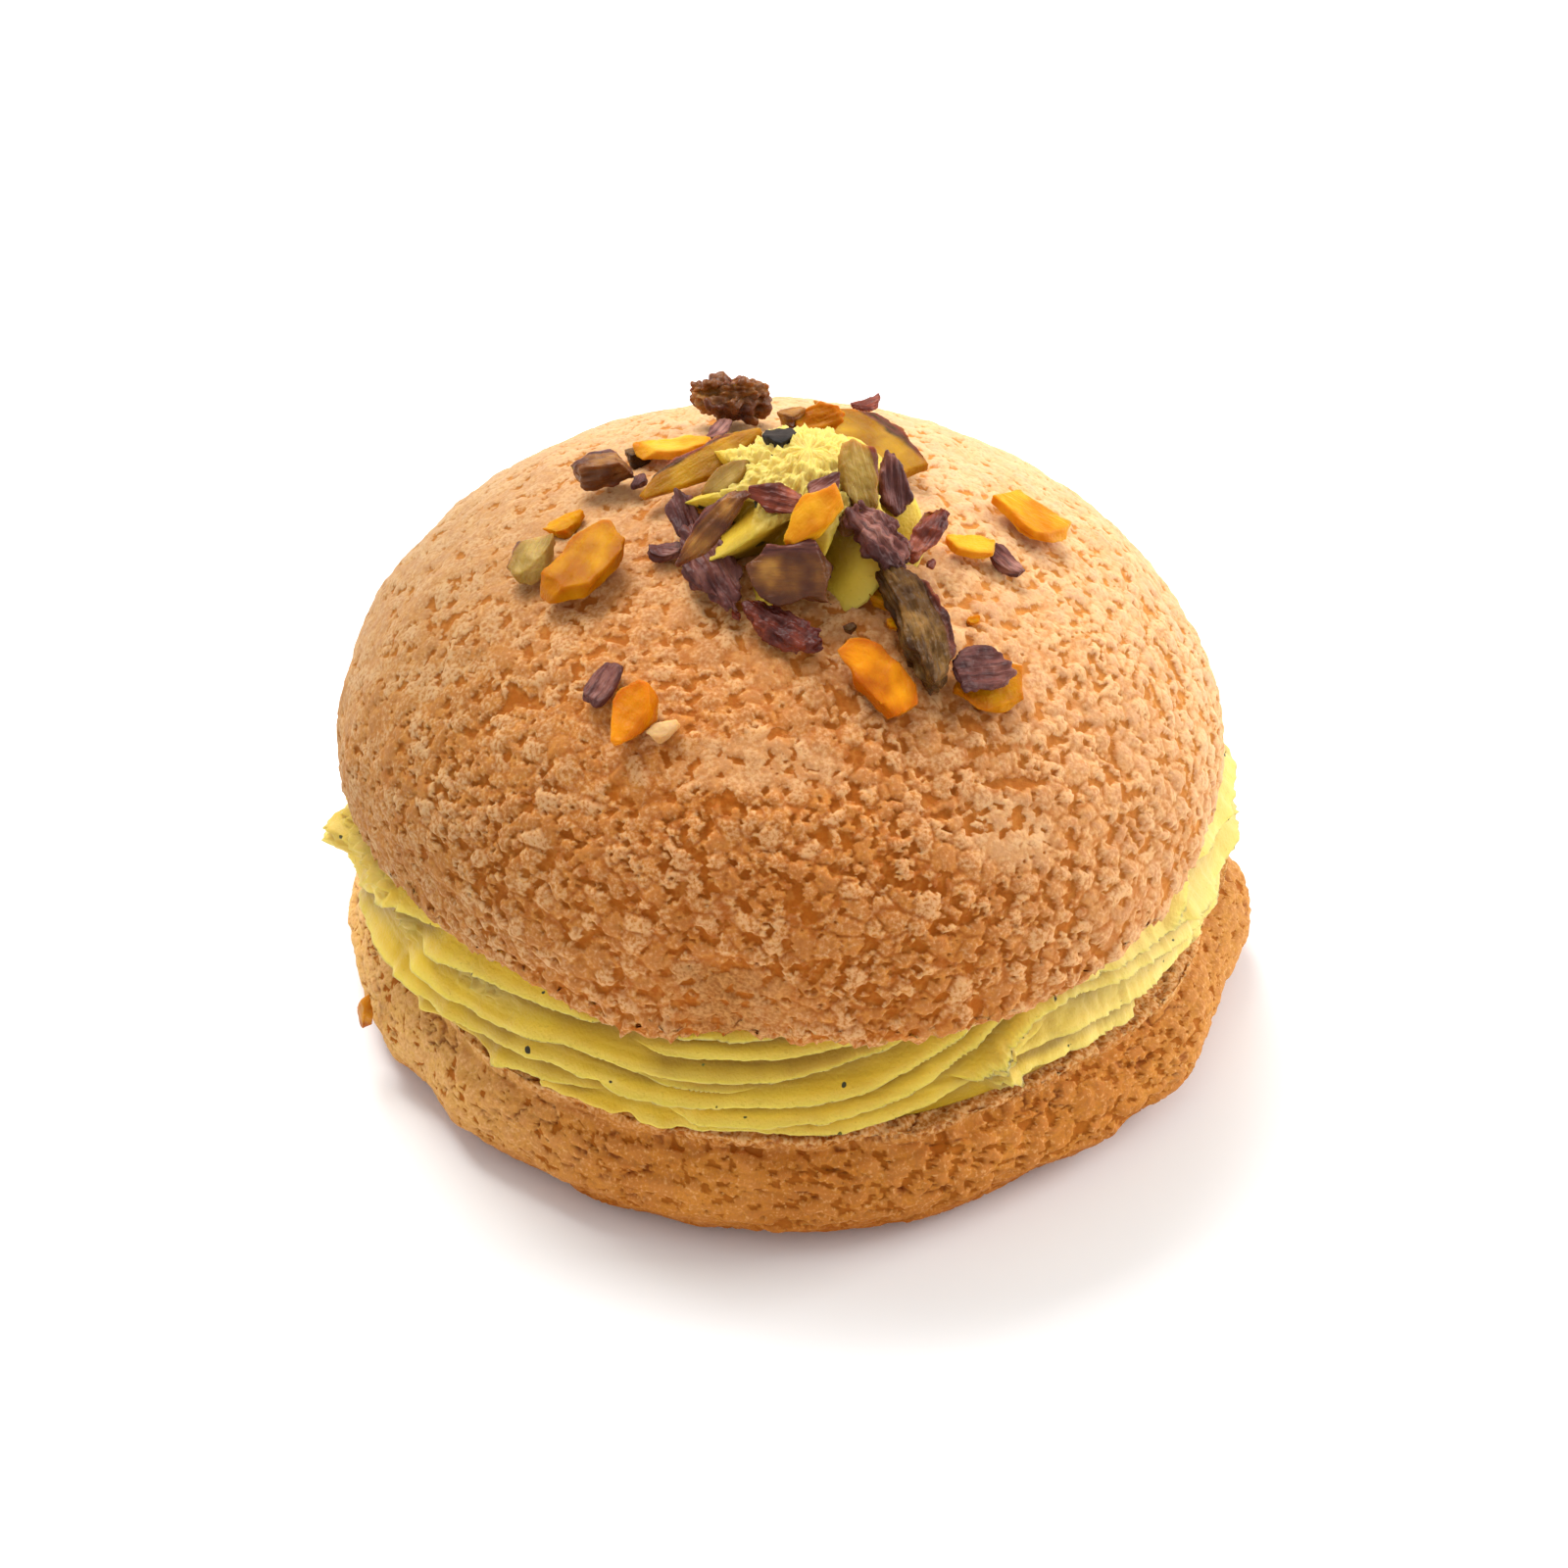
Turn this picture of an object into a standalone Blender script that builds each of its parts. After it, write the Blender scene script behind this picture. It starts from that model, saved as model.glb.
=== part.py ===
"""A filled choux bun: a crackled top, a ridged ring of piped cream on a shallow base, and a piped
rosette with chopped nuts on the crown. Metres, +Z up, origin at the middle of the flat underside.

Every large piece is a turned profile whose points are then moved to make it uneven. Angles are in
degrees, counted from +X towards +Y, and the front of the bun faces -Y.
"""

import math
from collections import namedtuple

import bmesh
import bpy
from mathutils import Matrix, Vector, noise

GAP = 0.0003  # clearance between pieces that touch
NUT_CLEARANCE = 0.0005  # under a nut, over the crown's smooth surface

# Base: the lower half of the bun, cut open and filled
BASE_RADIUS = 0.0408
BASE_HEIGHT = 0.0128
BASE_FOOT_RADIUS = 0.0330
BASE_SWELLS = ((0.0006, 1, 83), (0.0004, 2, 346), (0.0003, 3, 36))
BASE_TORN_LUMP = (0.0021, 1, 9)  # height, bearing and spread
BASE_SIDE_BULGES = ((0.0010, 333, 8), (-0.0011, 306, 14), (-0.0005, 211, 15))
BASE_LUMP_SIZE = 0.007
BASE_LUMP_HEIGHT = 0.0005
BASE_RIM_SAG = 0.0003

# Cream: a thick piped layer with ridges running round its side
CREAM_RADIUS = 0.0377
CREAM_BOTTOM = BASE_HEIGHT + GAP
CREAM_TOP = 0.0244
CREAM_RIDGES = 6
CREAM_RIDGE_DEPTH = 0.0014
CREAM_BELLY = 0.0010  # how far the middle of the layer stands out past its edges
CREAM_SWELLS = ((0.0004, 2, 20), (0.0003, 4, 4))
CREAM_TEAR = (0.0018, 190, 6)

# Crown: the crackled top half of the bun
CROWN_RADIUS = 0.0400
CROWN_HEIGHT = 0.0271  # above its widest ring
CROWN_WAIST = 0.0266  # height of its widest ring
CROWN_CENTRE = Vector((-0.0007, -0.0013))
CROWN_LEAN = -0.0016  # the crown's middle stands this far to the side of the widest ring
CROWN_SWELLS = ((0.0007, 1, 25), (0.0008, 2, 326), (0.0006, 3, 55))
CROWN_BARE_PATCH = (-0.0012, 263, 8)  # where the crackled layer has come off the rim
CROWN_SQUEEZE = (-0.0009, 345, 32)
RIM_LIFTS = ((0.0026, 354, 34), (-0.0017, 250, 11))  # where the crown sits higher or lower on the cream
CROWN_LUMP_SIZE = 0.011
CROWN_LUMP_HEIGHT = 0.0004

# Rosette: cream piped through a star nozzle on the crown
ROSETTE_CENTRE = Vector((0.0008, -0.0055))
ROSETTE_RADIUS = 0.0088
ROSETTE_HEIGHT = 0.0082
ROSETTE_FOLDS = 8
ROSETTE_FOLD_DEPTH = 0.16
ROSETTE_TWIST = 60  # degrees that the folds turn from bottom to top
ROSETTE_TIP_LEAN = 0.0012

ROUND_STEPS = 56
CREAM_STEPS = 60
ROSETTE_STEPS = 40

CRUST = ("crust", (0.64, 0.34, 0.15), 0.75)
BASE_CRUST = ("base_crust", (0.58, 0.27, 0.10), 0.75)
CREAM = ("cream", (0.65, 0.55, 0.08), 0.45)
GOLD_NUT = ("gold_nut", (0.83, 0.38, 0.02), 0.35)
OLIVE_NUT = ("olive_nut", (0.19, 0.14, 0.04), 0.5)
NUT_SKIN = ("nut_skin", (0.12, 0.035, 0.035), 0.5)


def clear_scene():
    for obj in list(bpy.data.objects):
        bpy.data.objects.remove(obj)


def material(name, colour, roughness):
    found = bpy.data.materials.get(name)
    if found:
        return found
    made = bpy.data.materials.new(name)
    made.use_nodes = True
    shader = made.node_tree.nodes["Principled BSDF"]
    shader.inputs["Base Color"].default_value = (*colour, 1)
    shader.inputs["Roughness"].default_value = roughness
    shader.inputs["Metallic"].default_value = 0
    return made


def swells(angle, terms):
    """Sum of (size, lobes, bearing) waves round a ring."""
    return sum(size * math.cos(lobes * math.radians(angle - bearing)) for size, lobes, bearing in terms)


def bulge(angle, size, bearing, spread):
    """One smooth swelling (or dent) round a bearing."""
    off = (angle - bearing + 180) % 360 - 180
    return size * math.exp(-((off / spread) ** 2))


def bulges(angle, terms):
    return sum(bulge(angle, *term) for term in terms)


def lumps(point, size):
    """Smooth unevenness between about -1 and 1, with lumps of this size."""
    return noise.noise(Vector(point) / size)


def add_piece(name, mesh, finish):
    piece = bpy.data.objects.new(name, mesh)
    piece.data.materials.append(material(*finish))
    parts.objects.link(piece)
    return piece


def turned(name, profile, steps, finish, shape):
    """A profile of (radius, height) points, from the top down its outer side, turned round Z. shape
    moves each point from its angle, radius and height to a place."""
    line = bpy.data.meshes.new(name)
    line.from_pydata([(r, 0, z) for r, z in profile], [(i, i + 1) for i in range(len(profile) - 1)], [])
    guide = bpy.data.objects.new(name, line)
    parts.objects.link(guide)
    screw = guide.modifiers.new("turn", "SCREW")
    screw.steps = steps
    screw.render_steps = steps
    screw.use_merge_vertices = True
    screw.merge_threshold = 0.00001
    graph = bpy.context.evaluated_depsgraph_get()
    mesh = bpy.data.meshes.new_from_object(guide.evaluated_get(graph))
    bpy.data.objects.remove(guide)
    for vertex in mesh.vertices:
        x, y, z = vertex.co
        angle = math.degrees(math.atan2(y, x)) % 360
        vertex.co = shape(angle, math.hypot(x, y), z)
    mesh.shade_smooth()
    return add_piece(name, mesh, finish)


def arc(centre, size, start, end, count):
    """Points on an ellipse's arc, in (radius, height)."""
    points = []
    for i in range(count + 1):
        turn = math.radians(start + (end - start) * i / count)
        points.append((centre[0] + size[0] * math.cos(turn), centre[1] + size[1] * math.sin(turn)))
    return points


def ring_point(angle, radius, z):
    return Vector((radius * math.cos(math.radians(angle)), radius * math.sin(math.radians(angle)), z))


# Base


def base_shape(angle, radius, z):
    share = min(radius / BASE_RADIUS, 1) ** 3
    grown = radius + share * (swells(angle, BASE_SWELLS) + bulges(angle, (BASE_TORN_LUMP, *BASE_SIDE_BULGES)))
    rough = lumps(ring_point(angle, radius, z), BASE_LUMP_SIZE)
    if 0 < z < BASE_HEIGHT and radius > BASE_FOOT_RADIUS:
        grown += BASE_LUMP_HEIGHT * rough
        z -= BASE_RIM_SAG * (1 + rough) * share
    return ring_point(angle, grown, z)


def make_base():
    side = arc((BASE_RADIUS - 0.0070, 0.0060), (0.0070, 0.0060), 52, -90, 7)
    rim = [(0, BASE_HEIGHT), (0.024, BASE_HEIGHT), (0.0365, BASE_HEIGHT), (0.0385, BASE_HEIGHT - 0.0006)]
    foot = [(BASE_FOOT_RADIUS - 0.002, 0), (0.016, 0), (0, 0)]
    return turned("base_shell", rim + side + foot, ROUND_STEPS, BASE_CRUST, base_shape)


# Cream layer


def rim_lift(place):
    """How far the face between the cream and the crown stands above its plain height."""
    angle = math.degrees(math.atan2(place.y, place.x))
    return bulges(angle, RIM_LIFTS) * (math.hypot(place.x, place.y) / CROWN_RADIUS) ** 2


def cream_profile():
    """Flat top and underside, and a side of sharp crests with rounded valleys between them."""
    rows = []
    height = CREAM_TOP - CREAM_BOTTOM
    for i in range(3 * CREAM_RIDGES + 1):
        across = i / (3 * CREAM_RIDGES)
        crest = abs(math.cos(math.pi * CREAM_RIDGES * across)) ** 2
        belly = math.sin(math.pi * across)
        rows.append((CREAM_RADIUS + CREAM_BELLY * belly + CREAM_RIDGE_DEPTH * crest, CREAM_TOP - height * across))
    return [(0, CREAM_TOP), (0.022, CREAM_TOP)] + rows + [(0.022, CREAM_BOTTOM), (0, CREAM_BOTTOM)]


def cream_shape(angle, radius, z):
    across = (z - CREAM_BOTTOM) / (CREAM_TOP - CREAM_BOTTOM)
    if radius < CREAM_RADIUS - 0.0001:
        place = ring_point(angle, radius, z)
        place.z += rim_lift(place) * across
        return place
    depth = radius - CREAM_RADIUS - CREAM_BELLY * math.sin(math.pi * across)
    swing = 0.75 + 0.35 * math.sin(math.radians(3 * angle) + 5 * across)
    side = CREAM_RADIUS + CREAM_BELLY * math.sin(math.pi * across) + depth * swing
    side += swells(angle, CREAM_SWELLS) + bulge(angle, *CREAM_TEAR) * across
    wave = 0.0009 * math.sin(math.radians(4 * angle + 40) + 3 * across)
    wave += 0.0005 * math.sin(math.radians(9 * angle) - 4 * across)
    place = ring_point(angle, side, z + wave * math.sin(math.pi * across))
    place.z += rim_lift(place) * across
    return place


def make_cream():
    return turned("cream_layer", cream_profile(), CREAM_STEPS, CREAM, cream_shape)


# Crown


def crown_rise(x, y):
    """Height of the crown's surface over a point, without its lumps."""
    z = CROWN_WAIST + CROWN_HEIGHT
    for _ in range(6):
        lean = CROWN_LEAN * (z - CROWN_WAIST) / CROWN_HEIGHT
        off = Vector((x, y)) - CROWN_CENTRE - Vector((lean, 0))
        z = CROWN_WAIST + CROWN_HEIGHT * math.sqrt(max(1 - off.length_squared / CROWN_RADIUS**2, 0))
    return z


def crown_normal(x, y):
    step = 0.0005
    along = (crown_rise(x + step, y) - crown_rise(x - step, y)) / (2 * step)
    across = (crown_rise(x, y + step) - crown_rise(x, y - step)) / (2 * step)
    return Vector((-along, -across, 1)).normalized()


def crown_shape(angle, radius, z):
    height = max(z - CROWN_WAIST, 0) / CROWN_HEIGHT
    edge = (1 - height) ** 2 * min(radius / CROWN_RADIUS, 1) ** 3
    grown = radius + edge * (swells(angle, CROWN_SWELLS) + bulges(angle, (CROWN_BARE_PATCH, CROWN_SQUEEZE)))
    place = ring_point(angle, grown, z)
    place.x += CROWN_CENTRE.x + CROWN_LEAN * height
    place.y += CROWN_CENTRE.y
    place.z += rim_lift(place) * (1 - height) ** 2
    if z > CREAM_TOP + GAP + 0.0002:
        outward = Vector((place.x, place.y, 1.4 * (z - CROWN_WAIST))).normalized()
        place += outward * CROWN_LUMP_HEIGHT * (lumps(place, CROWN_LUMP_SIZE) - 0.3)
    return place


def make_crown():
    dome = arc((0, CROWN_WAIST), (CROWN_RADIUS, CROWN_HEIGHT), 90, 0, 11)
    dome[0] = (0, dome[0][1])
    underside = CREAM_TOP + GAP
    lip = [(CROWN_RADIUS - 0.0005, CROWN_WAIST - 0.0011), (CROWN_RADIUS - 0.0020, underside)]
    inside = [(0.024, underside), (0, underside)]
    return turned("top_shell", dome + lip + inside, ROUND_STEPS, CRUST, crown_shape)


# Rosette


def rosette_shape(angle, radius, z):
    up = z / ROSETTE_HEIGHT
    crest = 1 - abs(math.cos(math.radians(ROSETTE_FOLDS * angle / 2)))
    grown = radius * (1 + ROSETTE_FOLD_DEPTH * (2 * crest - 1))
    place = ring_point(angle + ROSETTE_TWIST * up, grown, 0)
    place.x += ROSETTE_CENTRE.x + ROSETTE_TIP_LEAN * up**2
    place.y += ROSETTE_CENTRE.y
    place.z = crown_rise(place.x, place.y) + GAP + z
    return place


def make_rosette():
    tiers = 9
    side = []
    for i in range(1, tiers + 1):
        up = 1 - i / tiers
        side.append((ROSETTE_RADIUS * (1 - up**1.4) ** 0.8 * (1 - 0.12 * (1 - up) ** 6), ROSETTE_HEIGHT * up))
    top = [(0, ROSETTE_HEIGHT + 0.0003), (0.0008, ROSETTE_HEIGHT - 0.0002)]
    return turned("cream_rosette", top + side + [(0.004, 0), (0, 0)], ROSETTE_STEPS, CREAM, rosette_shape)


# Nuts
# size is length, width and thickness. ends are the shares of the width left at the two ends, bow is
# how far the middle stands sideways, curl how far the ends lift, twist the turn from end to end, and
# sharp the crease on the cut edges. at is where it lies in plan, lift its height over the crown,
# heading its direction, and pitch and roll tip it up along and across its length.

Nut = namedtuple(
    "Nut",
    "name finish size at heading lift pitch roll ends bow curl twist sharp",
    defaults=(0.0, 0, 0, (0.6, 0.6), 0.0, 0.0, 0, 0.5),
)

NUTS = (
    # loose on the crown
    Nut("chunk_brown_back", NUT_SKIN, (0.0072, 0.0044, 0.0038), (-0.0051, 0.0128), -8,
        ends=(0.8, 0.7), twist=12, sharp=0.2),
    Nut("kernel_dark_left", NUT_SKIN, (0.0058, 0.0026, 0.0024), (-0.0160, 0.0030), -12,
        ends=(0.3, 0.8), sharp=0.1),
    Nut("flake_gold_back", GOLD_NUT, (0.0070, 0.0034, 0.0010), (-0.0103, 0.0060), -6,
        ends=(0.9, 0.3), curl=0.0003, sharp=0.8),
    Nut("slice_gold_left", GOLD_NUT, (0.0086, 0.0052, 0.0018), (-0.0172, -0.0100), 50,
        ends=(0.6, 0.8), curl=0.0003),
    Nut("chip_olive_left", OLIVE_NUT, (0.0052, 0.0038, 0.0016), (-0.0218, -0.0070), 68,
        ends=(0.5, 0.8), sharp=0.3),
    Nut("skin_bit_front", NUT_SKIN, (0.0040, 0.0022, 0.0009), (-0.0152, -0.0218), 52,
        ends=(0.8, 0.6), curl=0.0003, sharp=0.7),
    Nut("chip_gold_front", GOLD_NUT, (0.0066, 0.0036, 0.0016), (-0.0128, -0.0252), 62,
        ends=(0.5, 0.9), curl=0.0003),
    Nut("flake_red_front", NUT_SKIN, (0.0080, 0.0034, 0.0011), (-0.0007, -0.0184), -31,
        ends=(0.6, 0.5), curl=0.0004, twist=14, sharp=0.6),
    Nut("slice_orange_front", GOLD_NUT, (0.0086, 0.0038, 0.0016), (0.0069, -0.0222), -50,
        ends=(0.6, 0.8), bow=0.0010),
    Nut("kernel_olive_front", OLIVE_NUT, (0.0130, 0.0038, 0.0036), (0.0098, -0.0182), -68,
        ends=(0.5, 0.6), bow=0.0008, sharp=0.0),
    Nut("slice_gold_low", GOLD_NUT, (0.0060, 0.0048, 0.0012), (0.0162, -0.0207), 22,
        ends=(0.8, 0.7)),
    Nut("skin_cap_low", NUT_SKIN, (0.0058, 0.0044, 0.0008), (0.0151, -0.0205), 20, 0.0019,
        ends=(0.7, 0.6), curl=0.0003, sharp=0.7),
    Nut("flake_gold_right", GOLD_NUT, (0.0046, 0.0022, 0.0009), (0.0150, -0.0062), 12,
        ends=(0.5, 0.4), curl=0.0003, sharp=0.7),
    Nut("slice_gold_right", GOLD_NUT, (0.0074, 0.0046, 0.0011), (0.0204, 0.0010), -18,
        ends=(0.7, 0.7), curl=0.0003),
    # leaning on the rosette
    Nut("slice_gold_long", GOLD_NUT, (0.0122, 0.0026, 0.0011), (-0.0072, 0.0006), 29, 0.0012, 13, 25,
        ends=(0.3, 0.6)),
    Nut("slice_gold_behind", GOLD_NUT, (0.0132, 0.0044, 0.0012), (0.0072, 0.0064), -46, 0.0006, -3, 12,
        ends=(0.6, 0.5), bow=0.0006),
    Nut("chip_pale_right", OLIVE_NUT, (0.0066, 0.0034, 0.0011), (0.0047, -0.0070), -62, 0.0062, -40),
    Nut("skin_shard_right", NUT_SKIN, (0.0060, 0.0026, 0.0011), (0.0080, -0.0044), 112, 0.0042, 52,
        ends=(0.7, 0.4), curl=0.0003),
    Nut("kernel_orange_front", GOLD_NUT, (0.0066, 0.0030, 0.0019), (0.0018, -0.0117), -142, 0.0057, -38,
        ends=(0.8, 0.4), sharp=0.2),
    Nut("chip_brown_front", OLIVE_NUT, (0.0062, 0.0046, 0.0012), (-0.0001, -0.0146), 2, 0.0031, 0, 46,
        ends=(0.7, 0.8)),
    Nut("skin_knot_right", NUT_SKIN, (0.0068, 0.0036, 0.0018), (0.0064, -0.0114), -32, 0.0034, -20,
        ends=(0.7, 0.6), twist=25, sharp=0.1),
    Nut("skin_strip_right", NUT_SKIN, (0.0056, 0.0026, 0.0009), (0.0110, -0.0082), 62, 0.0020, 24,
        ends=(0.6, 0.6), twist=-20),
    Nut("skin_striped_left", NUT_SKIN, (0.0048, 0.0024, 0.0012), (-0.0089, -0.0064), -72, 0.0012, -24,
        ends=(0.4, 0.8)),
    Nut("shard_olive_left", OLIVE_NUT, (0.0088, 0.0024, 0.0009), (-0.0062, -0.0114), 37, 0.0044, 28, 25,
        ends=(0.3, 0.6)),
    Nut("chip_olive_top", OLIVE_NUT, (0.0044, 0.0030, 0.0012), (-0.0049, -0.0056), 20, 0.0040, 30,
        ends=(0.7, 0.7), sharp=0.2),
    Nut("skin_husk_left", NUT_SKIN, (0.0094, 0.0037, 0.0015), (-0.0064, -0.0127), -66, 0.0006, -6,
        ends=(0.8, 0.3), sharp=0.3),
)
SLIVER = Nut("sliver_gold_base", GOLD_NUT, (0.0052, 0.0022, 0.0009), (0, 0), 0, ends=(0.5, 0.4))
SLIVER_BEARING = 202
SLIVER_HEIGHT = 0.0076


def make_nut(nut, floor, normal):
    """A cube cage of three cells, tapered, bowed and twisted along X, then smoothed and laid down."""
    mesh = bpy.data.meshes.new(nut.name)
    cage = bmesh.new()
    bmesh.ops.create_cube(cage, size=1)
    along = [edge for edge in cage.edges if abs(edge.verts[0].co.x - edge.verts[1].co.x) > 0.5]
    bmesh.ops.subdivide_edges(cage, edges=along, cuts=2)
    length, width, thickness = nut.size
    for vertex in cage.verts:
        x, y, z = vertex.co
        end = max(3 * abs(x) - 0.5, 0)
        share = 1 - end * (1 - nut.ends[0 if x < 0 else 1])
        uneven = 0.4 * noise.noise(3 * Vector((x, y, z)) + 900 * floor)
        side = Vector((0, y * width * (share + uneven), (z * (0.4 + 0.6 * share) + 0.5) * thickness))
        side = Matrix.Rotation(math.radians(nut.twist) * x, 3, "X") @ side
        vertex.co = ((x + uneven * 0.3) * length, side.y + nut.bow * (1 - 4 * x * x), side.z + nut.curl * 4 * x * x)
    crease = cage.edges.layers.float.new("crease_edge")
    for edge in cage.edges:
        edge[crease] = nut.sharp
    cage.to_mesh(mesh)
    cage.free()
    mesh.shade_smooth()
    piece = add_piece(nut.name, mesh, nut.finish)
    smooth = piece.modifiers.new("round", "SUBSURF")
    smooth.levels = 1
    smooth.render_levels = 1
    upright = Vector((0, 0, 1)).rotation_difference(normal).to_matrix()
    tip = Matrix.Rotation(-math.radians(nut.pitch), 3, "Y") @ Matrix.Rotation(math.radians(nut.roll), 3, "X")
    turn = Matrix.Rotation(math.radians(nut.heading), 3, "Z")
    piece.rotation_euler = (upright @ turn @ tip).to_euler()
    piece.location = floor + normal * (NUT_CLEARANCE + nut.lift)
    return piece


def lay_on_crown(nut):
    return make_nut(nut, Vector((*nut.at, crown_rise(*nut.at))), crown_normal(*nut.at))


def stick_on_base(nut):
    """The stray sliver, upright on the base's flank."""
    floor = ring_point(SLIVER_BEARING, BASE_RADIUS - 0.0004, SLIVER_HEIGHT)
    return make_nut(nut, floor, ring_point(SLIVER_BEARING, 1, 0))


clear_scene()
parts = bpy.data.collections.new("cream_puff")
bpy.context.scene.collection.children.link(parts)
make_base()
make_cream()
make_crown()
make_rosette()
for nut in NUTS:
    lay_on_crown(nut)
stick_on_base(SLIVER)
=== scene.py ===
"""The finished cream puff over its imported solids: crackled choux halves, piped pistachio cream and
chopped roasted pistachios. Metres, +Z up; the front of the bun faces -Y, and angles are in degrees
from +X towards +Y."""

import math
import random

import bmesh
import bpy
import numpy as np
from mathutils import Matrix, Vector, noise


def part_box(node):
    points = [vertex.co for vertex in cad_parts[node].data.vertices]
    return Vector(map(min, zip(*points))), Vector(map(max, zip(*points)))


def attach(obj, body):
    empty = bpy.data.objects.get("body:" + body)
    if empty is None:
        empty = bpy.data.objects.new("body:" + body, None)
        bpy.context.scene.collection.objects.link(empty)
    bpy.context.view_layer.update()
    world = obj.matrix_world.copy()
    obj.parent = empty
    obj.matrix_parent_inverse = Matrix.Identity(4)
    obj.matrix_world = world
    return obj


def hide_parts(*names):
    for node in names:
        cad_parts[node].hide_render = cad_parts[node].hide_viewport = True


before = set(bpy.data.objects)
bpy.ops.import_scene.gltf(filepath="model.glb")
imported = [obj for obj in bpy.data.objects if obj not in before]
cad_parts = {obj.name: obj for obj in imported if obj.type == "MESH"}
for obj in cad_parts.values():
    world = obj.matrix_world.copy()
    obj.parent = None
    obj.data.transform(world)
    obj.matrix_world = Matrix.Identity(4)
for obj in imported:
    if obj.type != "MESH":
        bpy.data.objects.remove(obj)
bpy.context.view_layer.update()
MM = 0.001

# Top half of the bun
# A choux dome baked under a thin sheet of sugar dough, which has cracked into pale sandy crumbs with
# the amber choux showing between them. It is a fine ball mesh cut at its widest ring and pressed to
# the dome's shape; then its crumbs are raised from it.

CROWN_RADIUS = 0.0400
CROWN_HEIGHT = 0.0271
CROWN_WAIST = 0.0266
CROWN_CENTRE = (-0.0007, -0.0013)
CROWN_LEAN = -0.0016
CROWN_SWELLS = ((0.0007, 1, 25), (0.0008, 2, 326), (0.0006, 3, 55))
CROWN_LUMP_SIZE = 0.011
CROWN_LUMP_HEIGHT = 0.0004
CROWN_DENTS = ((-0.0012, 263, 8), (-0.0009, 345, 32))  # size, bearing and spread; the first is bald
CROWN_SET_BACK = 1.00  # mm that the crumbs' foot lies under the dome
RIM_LIFTS = ((0.0026, 354, 34), (-0.0017, 250, 11))  # where the crown sits higher or lower on the cream
LIP_STEPS = (  # share of the width that is kept and the drop, in crown radii
    (0.999, -0.008), (0.998, -0.008), (0.997, -0.008), (0.995, -0.008), (0.993, -0.007),
    (0.990, -0.006), (0.985, -0.004), (0.97, -0.002), (0.6, 0.0),
)
HEM_HEIGHT = 0.07  # in crown radii
HEM_DROP = 0.0011
HEM_TATTER_SIZE = 0.0015
CRUMBS_PER_MM = 1.4
CLUMPS_PER_MM = 0.50


def pick(test, kind="verts"):
    """Selects the edit mesh's parts that pass the test and nothing else."""
    mesh = bmesh.from_edit_mesh(bpy.context.object.data)
    bpy.context.tool_settings.mesh_select_mode = [kind == name for name in ("verts", "edges", "faces")]
    for part in (*mesh.verts, *mesh.edges, *mesh.faces):
        part.select = False
    for part in getattr(mesh, kind):
        if test(part):
            part.select_set(True)
    mesh.select_flush_mode()
    bmesh.update_edit_mesh(bpy.context.object.data)


def edit(mode="EDIT"):
    bpy.ops.object.mode_set(mode=mode)


def points_of(piece):
    places = np.empty(len(piece.data.vertices) * 3)
    piece.data.vertices.foreach_get("co", places)
    return places.reshape(-1, 3)


def move_points(piece, places):
    piece.data.vertices.foreach_set("co", np.ascontiguousarray(places, float).ravel())
    piece.data.update()


def mark(piece, name, values):
    """Keeps a number or a place for each point of the mesh, for its material to read."""
    values = np.asarray(values, float)
    kind = "FLOAT" if values.ndim == 1 else "FLOAT_VECTOR"
    layer = piece.data.attributes.new(name, kind, "POINT")
    layer.data.foreach_set("value" if values.ndim == 1 else "vector", values.ravel())


def swells(angle, terms):
    return sum(size * np.cos(lobes * np.radians(angle - bearing)) for size, lobes, bearing in terms)


def bulge(angle, bearing, spread):
    return np.exp(-((((angle - bearing + 180) % 360 - 180) / spread) ** 2))


def bulges(angle, terms):
    return sum(size * bulge(angle, bearing, spread) for size, bearing, spread in terms)


def rim_lift(x, y):
    """How far the face between the cream and the crown stands above its plain height."""
    return bulges(np.degrees(np.arctan2(y, x)), RIM_LIFTS) * (np.hypot(x, y) / CROWN_RADIUS) ** 2


def lumps(places, size):
    return np.array([noise.noise(Vector(place) / size) for place in places])


def crown_points(dome):
    """Moves points of a half ball of radius 1 to the top half's smooth surface."""
    height = np.clip(dome[:, 2], 0, 1)
    radius = np.hypot(dome[:, 0], dome[:, 1])
    angle = np.degrees(np.arctan2(dome[:, 1], dome[:, 0])) % 360
    edge = (1 - height) ** 2 * np.minimum(radius, 1) ** 3
    grown = radius * CROWN_RADIUS + edge * (swells(angle, CROWN_SWELLS) + bulges(angle, CROWN_DENTS))
    z = CROWN_WAIST + np.where(dome[:, 2] > 0, CROWN_HEIGHT * dome[:, 2], CROWN_RADIUS * dome[:, 2])
    x = grown * np.cos(np.radians(angle)) + CROWN_CENTRE[0] + CROWN_LEAN * height
    y = grown * np.sin(np.radians(angle)) + CROWN_CENTRE[1]
    z += rim_lift(x, y) * (1 - height) ** 2
    places = np.stack([x, y, z], 1)
    outward = np.stack([x, y, 1.4 * (z - CROWN_WAIST)], 1)
    outward /= np.linalg.norm(outward, axis=1)[:, None]
    return places + outward * (CROWN_LUMP_HEIGHT * (lumps(places, CROWN_LUMP_SIZE) - 0.3))[:, None]


def wire(tree, kind, inputs, output=0, **settings):
    """Adds a node, sets or links its inputs and gives one of its outputs."""
    made = tree.nodes.new(kind)
    for name, value in settings.items():
        setattr(made, name, value)
    for key, value in inputs.items():
        if isinstance(value, bpy.types.NodeSocket):
            tree.links.new(value, made.inputs[key])
        else:
            made.inputs[key].default_value = value
    return made.outputs[output]


def maths(tree, operation, *values):
    return wire(tree, "ShaderNodeMath", dict(enumerate(values)), operation=operation)


def times(tree, first, *others):
    for other in others:
        first = maths(tree, "MULTIPLY", first, other)
    return first


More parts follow.
